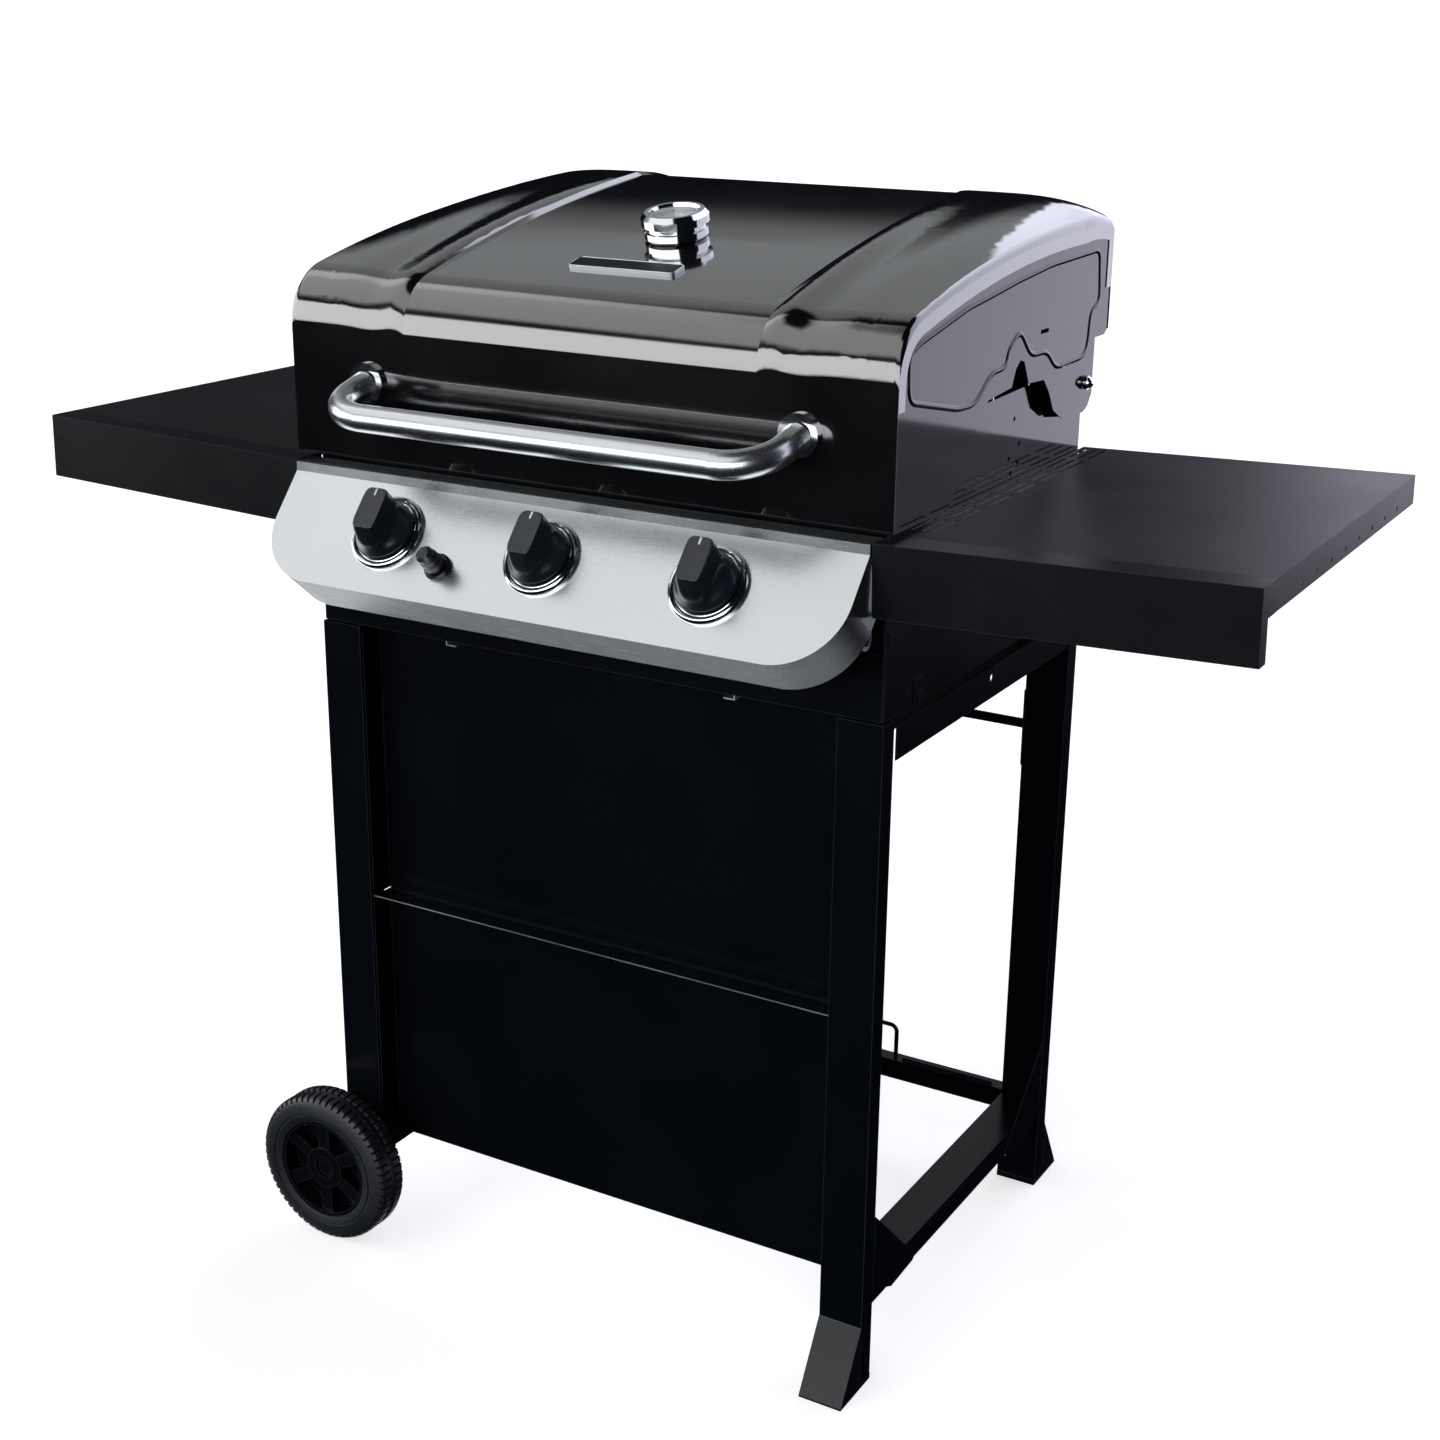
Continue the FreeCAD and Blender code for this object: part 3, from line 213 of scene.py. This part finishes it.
# ---- materials -----------------------------------------------------------------------------
BROAD_SCALE = 7.0             # patches of colour and gloss, per metre
BUMP_DEPTH = 0.0002
COAT_ROUGHNESS = 0.03
EDGE_HIGHLIGHT_RADIUS = 0.0012          # how far from an edge the painted highlight reaches
# strength of the painted edge highlight
EDGE_HIGHLIGHT_AMOUNT = 0.6


def painted_edge_highlight(g, tone, fine, edge_highlight):
    """Painted highlight: lighter colour where the surface turns over an edge, broken up by the fine noise.
    """
    bevel = g.new("ShaderNodeBevel", samples=4)
    bevel.inputs["Radius"].default_value = EDGE_HIGHLIGHT_RADIUS
    geometry = g.new("ShaderNodeNewGeometry")
    dot = g.new("ShaderNodeVectorMath", operation="DOT_PRODUCT")
    g.link(bevel.outputs[0], dot.inputs[0])
    g.link(geometry.outputs["Normal"], dot.inputs[1])
    highlight_mask = g.ramp(dot.outputs["Value"], 0.985, 0.86)
    highlight_mask = g.math("MULTIPLY", highlight_mask, g.ramp(fine.outputs["Fac"], 0.35, 0.6))
    return g.mix(g.math("MULTIPLY", highlight_mask, EDGE_HIGHLIGHT_AMOUNT), tone, tuple(edge_highlight) + (1,))


def finish_material(name, colour, roughness, metallic=0.0, coat=0.0, coat_ior=1.5, spread=0.08, grain=900.0,
                    bump=0.12, streak=None, edge_highlight=None, mottle=0.25, specular=0.5):
    """Painted, plated or moulded surface: uneven colour and roughness, fine bump, painted highlight on
    edges.

    spread is the variation of roughness, mottle that of colour, grain the scale of the bump, and streak
    stretches the grain along an axis.
    """
    material = bpy.data.materials.new(name)
    material.use_nodes = True
    g = Graph(material.node_tree)
    coord = g.new("ShaderNodeTexCoord").outputs["Object"]
    place = coord
    if streak:
        stretch = g.new("ShaderNodeMapping")
        stretch.inputs["Scale"].default_value = streak
        g.link(coord, stretch.inputs["Vector"])
        place = stretch.outputs[0]
    fine = g.new("ShaderNodeTexNoise")
    fine.inputs["Scale"].default_value = grain
    fine.inputs["Detail"].default_value = 3.0
    g.link(place, fine.inputs["Vector"])
    broad = g.new("ShaderNodeTexNoise")
    broad.inputs["Scale"].default_value = BROAD_SCALE
    broad.inputs["Detail"].default_value = 4.0
    g.link(coord, broad.inputs["Vector"])
    dark = tuple(c * (1 - mottle) for c in colour) + (1,)
    light = tuple(min(1, c * (1 + mottle)) for c in colour) + (1,)
    tone = g.mix(g.ramp(broad.outputs["Fac"], 0.3, 0.7), dark, light)
    rough = g.math("ADD", g.ramp(broad.outputs["Fac"], 0.3, 0.7, roughness - spread, roughness + spread),
                   g.ramp(fine.outputs["Fac"], 0.3, 0.7, -spread * 0.5, spread * 0.5), clamp=True)
    # painted highlight along the edges, in the given edge colour
    if edge_highlight:
        tone = painted_edge_highlight(g, tone, fine, edge_highlight)
    shader = g.new("ShaderNodeBsdfPrincipled")
    g.link(tone, shader.inputs["Base Color"])
    g.link(rough, shader.inputs["Roughness"])
    shader.inputs["Metallic"].default_value = metallic
    shader.inputs["Coat Weight"].default_value = coat
    shader.inputs["Coat Roughness"].default_value = COAT_ROUGHNESS
    shader.inputs["Coat IOR"].default_value = coat_ior
    shader.inputs["Specular IOR Level"].default_value = specular
    relief = g.new("ShaderNodeBump")
    relief.inputs["Strength"].default_value = bump
    relief.inputs["Distance"].default_value = BUMP_DEPTH
    g.link(fine.outputs["Fac"], relief.inputs["Height"])
    g.link(relief.outputs[0], shader.inputs["Normal"])
    out = g.new("ShaderNodeOutputMaterial")
    g.link(shader.outputs[0], out.inputs["Surface"])
    return material


EDGE_HIGHLIGHT = (0.09, 0.1, 0.13)      # colour of the painted highlight on edges
BLACK = (0.0016, 0.0026, 0.0042)
BRUSHED = dict(colour=(0.6, 0.62, 0.63), roughness=0.27, metallic=1.0, spread=0.02, grain=1300, bump=0.012,
               streak=(0.02, 1, 1), mottle=0.03)
INK = dict(roughness=0.4, grain=1800, bump=0.05)


def shader_of(material):
    return next(n for n in material.node_tree.nodes if n.type == "BSDF_PRINCIPLED")


def steel_painted_underside():
    """Brushed sheet that turns from metal to matte light grey where it faces down, painting brightness onto
    the folded lower edge.
    """
    material = finish_material("stainless_painted_underside", **BRUSHED)
    tree = material.node_tree
    normal = tree.nodes.new("ShaderNodeNewGeometry")
    split = tree.nodes.new("ShaderNodeSeparateXYZ")
    underside_lightening = tree.nodes.new("ShaderNodeMapRange")
    for key, value in (("From Min", -0.15), ("From Max", -0.5), ("To Min", 1.0), ("To Max", 0.12)):
        underside_lightening.inputs[key].default_value = value
    tree.links.new(normal.outputs["Normal"], split.inputs[0])
    tree.links.new(split.outputs[2], underside_lightening.inputs["Value"])
    # downward faces lose their metal and show the light grey base colour: painted brightening
    tree.links.new(underside_lightening.outputs[0], shader_of(material).inputs["Metallic"])
    return material


def dial_glass():
    material = finish_material("dial_glass", (0.8, 0.82, 0.84), 0.04, spread=0.015, bump=0.01, mottle=0.02)
    shader_of(material).inputs["Alpha"].default_value = 0.12
    return material


def make_materials():
    """Finishes by the record's slot names, then the extra ones that only some pieces have."""
    # Finishes given an edge colour below get a painted highlight along their edges.
    return {
        "black_steel": finish_material("powder_black", BLACK, 0.2, spread=0.012, grain=2500, bump=0.05,
                                       edge_highlight=EDGE_HIGHLIGHT, mottle=0.1, specular=0.26),
        "lid_enamel": finish_material("gloss_enamel", (0.003, 0.0025, 0.003), 0.12, coat=1.0, coat_ior=1.95,
                                      spread=0.02, grain=520, bump=0.03, streak=(0.03, 1, 1), edge_highlight=EDGE_HIGHLIGHT,
                                      mottle=0.15, specular=0.7),
        "lid_side_paint": finish_material("satin_enamel", (0.0025, 0.0025, 0.005), 0.08, spread=0.01,
                                          grain=1500, bump=0.02, edge_highlight=EDGE_HIGHLIGHT, mottle=0.08),
        "stainless": finish_material("brushed_stainless", **BRUSHED),
        "bright_chrome": finish_material("chrome_plate", (0.75, 0.76, 0.78), 0.1, metallic=1.0, spread=0.03,
                                         bump=0.02, mottle=0.03),
        "zinc_steel": finish_material("zinc_plate", (0.45, 0.46, 0.48), 0.4, metallic=1.0, bump=0.1,
                                      mottle=0.12),
        "cast_grate": finish_material("porcelain_iron", (0.02, 0.02, 0.021), 0.5, grain=700, bump=0.5,
                                      edge_highlight=EDGE_HIGHLIGHT),
        "black_plastic": finish_material("black_plastic", (0.0022, 0.003, 0.0045), 0.27, spread=0.02,
                                         grain=1800, bump=0.07, mottle=0.12, edge_highlight=EDGE_HIGHLIGHT, specular=0.3),
        "knob_plastic": finish_material("knob_plastic", (0.007, 0.011, 0.017), 0.3, grain=1500, bump=0.12,
                                        mottle=0.1, edge_highlight=EDGE_HIGHLIGHT),
        "tyre_black": finish_material("tyre_plastic", (0.008, 0.01, 0.014), 0.45, grain=900, bump=0.3,
                                      mottle=0.15, edge_highlight=EDGE_HIGHLIGHT),
        "brass": finish_material("brass", (0.6, 0.42, 0.18), 0.3, metallic=1.0, bump=0.05, mottle=0.08),
        "pale_ink": finish_material("pale_ink", (0.62, 0.63, 0.65), mottle=0.04, **INK),
        "dark_ink": finish_material("dark_ink", (0.02, 0.02, 0.024), 0.5, grain=1800, bump=0.05,
                                    mottle=0.1),
        "red_ink": finish_material("red_ink", (0.55, 0.03, 0.02), mottle=0.05, **INK),
        "shelf_paint": finish_material("shelf_paint", BLACK, 0.36, spread=0.02, grain=2500, bump=0.06,
                                       edge_highlight=EDGE_HIGHLIGHT, mottle=0.1, specular=0.2),
        "badge_black": finish_material("badge_black", (0.004, 0.004, 0.005), 0.5, grain=1800, bump=0.08,
                                       mottle=0.1, specular=0.12),
        "steel_painted_underside": steel_painted_underside(),
        "dial_glass": dial_glass(),
    }


def smooth(mesh, degrees=32):
    """Shade curved faces smooth and keep flat ones flat: corner normals weighted by face area."""
    mesh.polygons.foreach_set("use_smooth", [True] * len(mesh.polygons))
    mesh.set_sharp_from_angle(angle=math.radians(degrees))
    limit = math.cos(math.radians(degrees))
    faces = [(p.normal.copy(), p.area) for p in mesh.polygons]
    around = {}
    for p in mesh.polygons:
        for v in p.vertices:
            around.setdefault(v, []).append(p.index)
    normals = []
    for p in mesh.polygons:
        own = faces[p.index][0]
        for v in p.vertices:
            total = own * 1e-12    # keeps a face without area from leaving a zero normal
            for other in around[v]:
                normal, area = faces[other]
                if own.dot(normal) > limit:
                    total += normal * area
            normals.append(total.normalized())
    mesh.normals_split_custom_set(normals)


# CAD nodes whose finish differs from the rest of their slot; the control panel's also paints its downward
# faces lighter
SPECIAL = {"control_panel": "steel_painted_underside", "side_shelves": "shelf_paint"}


def dress_cad(materials):
    slots = {s["node"]: s["material_slot"] for s in frame["record"]["subparts"]}
    for name, node in frame["nodes"].items():
        node.data.materials.clear()
        node.data.materials.append(materials[SPECIAL.get(name, slots[name])])
        smooth(node.data)


# ---- pieces --------------------------------------------------------------------------------
def piece(name, rings, slot, body, material=None, loop=False, degrees=32, replaces=()):
    """Skin closed rings of points (millimetres) into one mesh that rides on a body."""
    bm = bmesh.new()
    rows = [[bm.verts.new(Vector(p) * MM) for p in ring] for ring in rings]
    count = len(rows[0])
    for i in range(len(rows) if loop else len(rows) - 1):
        a, b = rows[i], rows[(i + 1) % len(rows)]
        for j in range(count):
            k = (j + 1) % count
            bm.faces.new((a[j], a[k], b[k], b[j]))
    if not loop:
        bm.faces.new(rows[0][::-1])
        bm.faces.new(rows[-1])
    bmesh.ops.recalc_face_normals(bm, faces=bm.faces)
    mesh = bpy.data.meshes.new(name)
    bm.to_mesh(mesh)
    bm.free()
    smooth(mesh, degrees)
    mesh.materials.append(MATERIALS[material or slot])
    item = bpy.data.objects.new(name, mesh)
    scene.collection.objects.link(item)
    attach(item, body)
    if replaces:
        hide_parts(*replaces)


class Plane:
    """Local frame on the object: a to the right, b down the slope, w straight out. Millimetres."""

    def __init__(self, origin, out):
        self.origin = Vector(origin)
        self.w = Vector(out).normalized()
        self.a = Vector((1, 0, 0))
        self.b = self.a.cross(self.w)

    def at(self, a, b, w):
        return self.origin + self.a * a + self.b * b + self.w * w

    def circle(self, radius, w, count=64):
        return [self.at(radius * math.cos(t), radius * math.sin(t), w)
                for t in (2 * math.pi * i / count for i in range(count))]

    def squarish(self, half_a, half_b, w, power, centre_b, count=64):
        """Super-ellipse ring: power 2 is an ellipse, 5 a rectangle with round corners."""
        ring = []
        for i in range(count):
            t = 2 * math.pi * i / count
            c, s = math.cos(t), math.sin(t)
            r = ((abs(c) / half_a) ** power + (abs(s) / half_b) ** power) ** (-1 / power)
            ring.append(self.at(r * c, centre_b + r * s, w))
        return ring

    def rounded(self, half_a, half_b, radius, w, centre_b=0.0, count=8):
        """Rectangle ring with round corners."""
        ring = []
        for quarter, (sa, sb) in enumerate(((1, 1), (-1, 1), (-1, -1), (1, -1))):
            for i in range(count + 1):
                t = math.pi / 2 * (quarter + i / count)
                ring.append(self.at(sa * (half_a - radius) + radius * math.cos(t),
                                    centre_b + sb * (half_b - radius) + radius * math.sin(t), w))
        return ring


def lathe(name, plane, profile, slot, body, count=72, replaces=()):
    """Ring turned about the plane's axis; the profile is radius, height out."""
    rings = []
    for i in range(count):
        t = 2 * math.pi * i / count
        rings.append([plane.at(r * math.cos(t), r * math.sin(t), w) for r, w in profile])
    piece(name, rings, slot, body, loop=True, degrees=30, replaces=replaces)


def box_mm(node):
    low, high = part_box(node)
    return Vector(low) / MM, Vector(high) / MM


# across the tyre from one face to its middle: distance in, radius at a lug, radius in a gap
TREAD = [(1.0, 56.2, 56.2), (0.2, 60.0, 60.0), (0.0, 63.4, 63.4), (1.5, 64.2, 64.2), (1.5, 65.8, 65.8),
         (0.0, 66.6, 66.6), (0.5, 72.0, 72.0), (1.6, 76.8, 76.8), (2.4, 79.6, 78.0), (4.2, 82.4, 79.2),
         (7.0, 83.7, 80.2), (9.0, 84.0, 80.6), (16.4, 84.0, 80.6), (17.1, 83.5, 80.6), (17.5, 81.6, 81.6)]
LUGS = 60
# where a gap starts and ends and a lug starts and ends, as parts of one pitch
LUG_STEPS = ((0.0, False), (0.26, False), (0.32, True), (0.94, True))


def tyre(node, body):
    low, high = box_mm(node)
    centre = (low + high) / 2
    width = high.y - low.y
    across = TREAD + [(width - y, a, b) for y, a, b in TREAD[::-1]]
    rings = []
    for i in range(LUGS):
        for step, lug in LUG_STEPS:
            t = 2 * math.pi * (i + step) / LUGS
            ring = []
            for y, high_r, low_r in across:
                r = high_r if lug else low_r
                ring.append((centre.x + r * math.sin(t), low.y + y, centre.z + r * math.cos(t)))
            rings.append(ring)
    piece("tread_" + node, rings, "tyre_black", body, loop=True, degrees=24, replaces=(node,))


PANEL_ANGLE = math.radians(40)
STEM_MIDDLE = -7.5            # the valve stem runs from 30 behind the panel face to 15 in front of it
POINTER_AT = -23.0            # up the grip from the knob's axis
# knob sections: height out of the panel, half width, half length, centre along the grip, squareness
KNOB_RINGS = [(5.9, 29.4, 29.4, 0, 2), (6.4, 30, 30, 0, 2), (9.4, 30, 30, 0, 2), (10.6, 29.4, 29.4, 0, 2),
              (13, 28, 28.3, 0, 2), (15.5, 24.5, 27.6, -0.2, 2.1), (18, 19.6, 27, -0.6, 2.3),
              (20.5, 16.4, 26.6, -1, 2.8), (24, 14.8, 26.2, -1.4, 3.4), (29, 14, 25, -2.6, 4),
              (35, 13.5, 23, -4.6, 4.6), (38.4, 13.2, 21.6, -6, 5), (39.5, 12.8, 21.1, -6.2, 5),
              (40, 12, 20.3, -6.2, 5), (39.8, 10.6, 18.9, -6.2, 4.6), (39.5, 4, 9, -6.2, 3)]


def knob(index, body):
    """Grip and pointer of one knob; gives back the plane its bezel sits on."""
    low, high = box_mm("valve_stem_%d" % index)
    out = Vector((0, -math.cos(PANEL_ANGLE), math.sin(PANEL_ANGLE)))
    plane = Plane((low + high) / 2 - out * STEM_MIDDLE, out)
    rings = [plane.squarish(a, b, w, power, centre) for w, a, b, centre, power in KNOB_RINGS]
    piece("knob_grip_%d" % index, rings, "knob_plastic", body, degrees=40, replaces=("knob_%d" % index,))
    mark = [plane.rounded(1.1 - d, 3.6 - d, 1.0 - d, w, POINTER_AT)
            for w, d in ((39.2, 0), (40.15, 0), (40.3, 0.3))]
    piece("knob_pointer_%d" % index, mark, "knob_plastic", body, "pale_ink")
    return plane


def bezels(planes):
    """Wide chrome ring, black groove and thin chrome lip round each knob."""
    outer = [(33.6, 0.2), (38.5, 0.2), (38.5, 2.4), (38.1, 3.8), (37.0, 5.2), (35.6, 5.9), (34.4, 5.6),
             (33.6, 4.6)]
    groove = [(31.4, 0.2), (33.5, 0.2), (33.5, 2.6), (31.4, 2.6)]
    inner = [(30.7, 0.2), (31.3, 0.2), (31.9, 3.0), (31.8, 4.2), (31.2, 4.6), (30.7, 4.0)]
    for i, plane in enumerate(planes):
        n = str(i + 1)
        lathe("bezel_ring_" + n, plane, outer, "bright_chrome", "cart", replaces=("knob_bezels",))
        lathe("bezel_groove_" + n, plane, groove, "black_plastic", "cart")
        lathe("bezel_lip_" + n, plane, inner, "bright_chrome", "cart")


CASE_SLOPE = math.atan(0.205)
CASE_BACK = 36.74             # from the front of the case to its axis, in y
CASE_DOWN = 31.78             # from the top of the case to the lid surface


DIAL_TICKS = 33
DIAL_START = 225              # degrees, turning clockwise from here
DIAL_SWEEP = 270
RED_FROM = 27                 # first tick of the red end of the scale
NEEDLE_ANGLE = 200


def dial_point(plane, angle, along, aside, w):
    """Point on the dial: along a spoke at this angle, a little to one side of it."""
    c, s = math.cos(angle), math.sin(angle)
    return plane.at(along * c - aside * s, -along * s - aside * c, w)


def dial_ticks(plane):
    for i in range(DIAL_TICKS):
        angle = math.radians(DIAL_START - DIAL_SWEEP * i / (DIAL_TICKS - 1))
        inner, outer, half = (16.5, 21.6, 0.42) if i % 4 == 0 else (19.2, 21.6, 0.2)
        rings = []
        for w, d in ((17.7, 0.0), (18.05, 0.0), (18.12, 0.08)):
            corners = ((inner + d, -1), (outer - d, -1), (outer - d, 1), (inner + d, 1))
            rings.append([dial_point(plane, angle, r, side * (half - d), w) for r, side in corners])
        ink = "red_ink" if i >= RED_FROM else "dark_ink"
        piece("dial_tick_%02d" % i, rings, "black_plastic", "lid", ink)


def dial_needle(plane):
    angle = math.radians(NEEDLE_ANGLE)
    rings = []
    for r, half in ((-6, 1.2), (-2, 0.9), (10, 0.6), (18.6, 0.18)):
        corners = ((-1, 19.0), (1, 19.0), (1, 19.6), (-1, 19.6))
        rings.append([dial_point(plane, angle, r, side * half, w) for side, w in corners])
    piece("dial_needle", rings, "black_plastic", "lid", "red_ink")


def thermometer():
    """Dial, ticks, needle and lens inside the CAD case."""
    low, high = box_mm("thermometer_case")
    out = Vector((0, -math.sin(CASE_SLOPE), math.cos(CASE_SLOPE)))
    plane = Plane((0, low.y + CASE_BACK, high.z - CASE_DOWN), out)
    face = [(23.8, 17.25), (23.8, 17.6), (23.4, 17.9), (8, 17.95)]
    piece("dial_face", [plane.circle(r, w) for r, w in face], "stainless", "lid", "pale_ink")
    dial_ticks(plane)
    dial_needle(plane)
    hub = [(2.6, 17.8), (2.6, 20.0), (2.2, 20.6), (0.9, 20.9)]
    piece("dial_hub", [plane.circle(r, w, 32) for r, w in hub], "bright_chrome", "lid")
    lens = [(23.9, 22.6), (23.9, 23.6), (22, 24.4), (17, 25.1), (10, 25.6), (3, 25.8)]
    piece("dial_lens", [plane.circle(r, w) for r, w in lens], "bright_chrome", "lid", "dial_glass")


BADGE_SLOPE = math.atan(0.246)
BADGE_BACK = 92.0             # from the front of the lid
BADGE_HEIGHT = 1053.9         # of the lid surface under the plate
BADGE_SIZE = (58, 12, 5)      # half length, half width, corner radius


def badge():
    """Plain oblong plate with a raised rim."""
    front = box_mm("lid_hood")[0].y
    out = Vector((0, -math.sin(BADGE_SLOPE), math.cos(BADGE_SLOPE)))
    plane = Plane((0, front + BADGE_BACK, BADGE_HEIGHT), out)

    def skin(levels):
        return [plane.rounded(*(size - d for size in BADGE_SIZE), w) for w, d in levels]
    rim = [(-0.4, 0.0), (3.0, 0.0), (3.8, 0.3), (4.0, 0.7), (3.8, 1.1), (3.2, 1.3), (3.1, 1.6)]
    face = [(2.9, 1.4), (3.5, 1.4), (3.65, 1.9), (3.7, 4.0)]
    piece("badge_rim", skin(rim), "zinc_steel", "lid")
    piece("badge_face", skin(face), "black_plastic", "lid", "badge_black")


# outline of the raised bead on each lid side: distance back from the front of the lid, height
BEAD = [(38, 1019), (137, 1038), (186, 1043), (246, 1050), (328, 1057), (452, 1060), (460, 1008),
        (437, 1001), (434, 968), (423, 958), (350, 957), (326, 976), (286, 977), (257, 1004), (233, 990),
        (227, 974), (194, 973), (160, 950), (124, 951), (22, 972), (20, 1012)]
BEAD_CORNER = 12
# across the bead, height out of the plate
BEAD_SECTION = [(-3.2, -0.4), (-2.3, 0.6), (-1.1, 1.25), (0, 1.45), (1.1, 1.25), (2.3, 0.6), (3.2, -0.4)]


def eased(points, cut, steps=6):
    """Closed line with its corners rounded."""
    out = []
    for i, p in enumerate(points):
        a = Vector(points[i - 1])
        b = Vector(p)
        c = Vector(points[(i + 1) % len(points)])
        start = b + (a - b).normalized() * min(cut, (a - b).length * 0.45)
        end = b + (c - b).normalized() * min(cut, (c - b).length * 0.45)
        for k in range(steps + 1):
            t = k / steps
            out.append(start * (1 - t) ** 2 + b * 2 * t * (1 - t) + end * t * t)
    return out


def side_beads():
    """Stamped bead on the outer face of each lid side."""
    outer = box_mm("lid_sides")[1].x
    front = box_mm("lid_hood")[0].y
    line = eased(BEAD, BEAD_CORNER)
    for side, name in ((1, "right"), (-1, "left")):
        rings = []
        for i, p in enumerate(line):
            ahead = line[(i + 1) % len(line)] - line[i - 1]
            across = Vector((-ahead.y, ahead.x)).normalized()
            rings.append([(side * (outer + h), front + p.x + across.x * n, p.y + across.y * n)
                          for n, h in BEAD_SECTION])
        piece("side_bead_" + name, rings, "lid_side_paint", "lid", loop=True)


SEAM_HIGHLIGHT_HALF = 0.55              # half the height of the painted highlight strip


def seam_highlight_strip():
    """Light metal strip in the joint between the two front panels: a painted highlight standing in for the
    light the hem edge catches.
    """
    low, high = box_mm("front_panel_upper")
    plane = Plane((0, low.y - 0.1, low.z - 0.5), (0, -1, 0))
    half = (high.x - low.x) / 2 - 1.0
    rings = [plane.rounded(half - d, SEAM_HIGHLIGHT_HALF - d * 0.5, 0.4, w)
             for w, d in ((-0.6, 0), (0.15, 0), (0.3, 0.2))]
    # light zinc strip standing in for the highlight on the hem edge
    piece("seam_highlight_strip", rings, "zinc_steel", "cart")


make_camera()
make_world()
make_floor()
MATERIALS = make_materials()
dress_cad(MATERIALS)
tyre("tyre_front", "front_wheel")
tyre("tyre_rear", "rear_wheel")
bezels([knob(1, "knob_left"), knob(2, "knob_middle"), knob(3, "knob_right")])
thermometer()
badge()
side_beads()
seam_highlight_strip()
scene.view_settings.view_transform = "Standard"
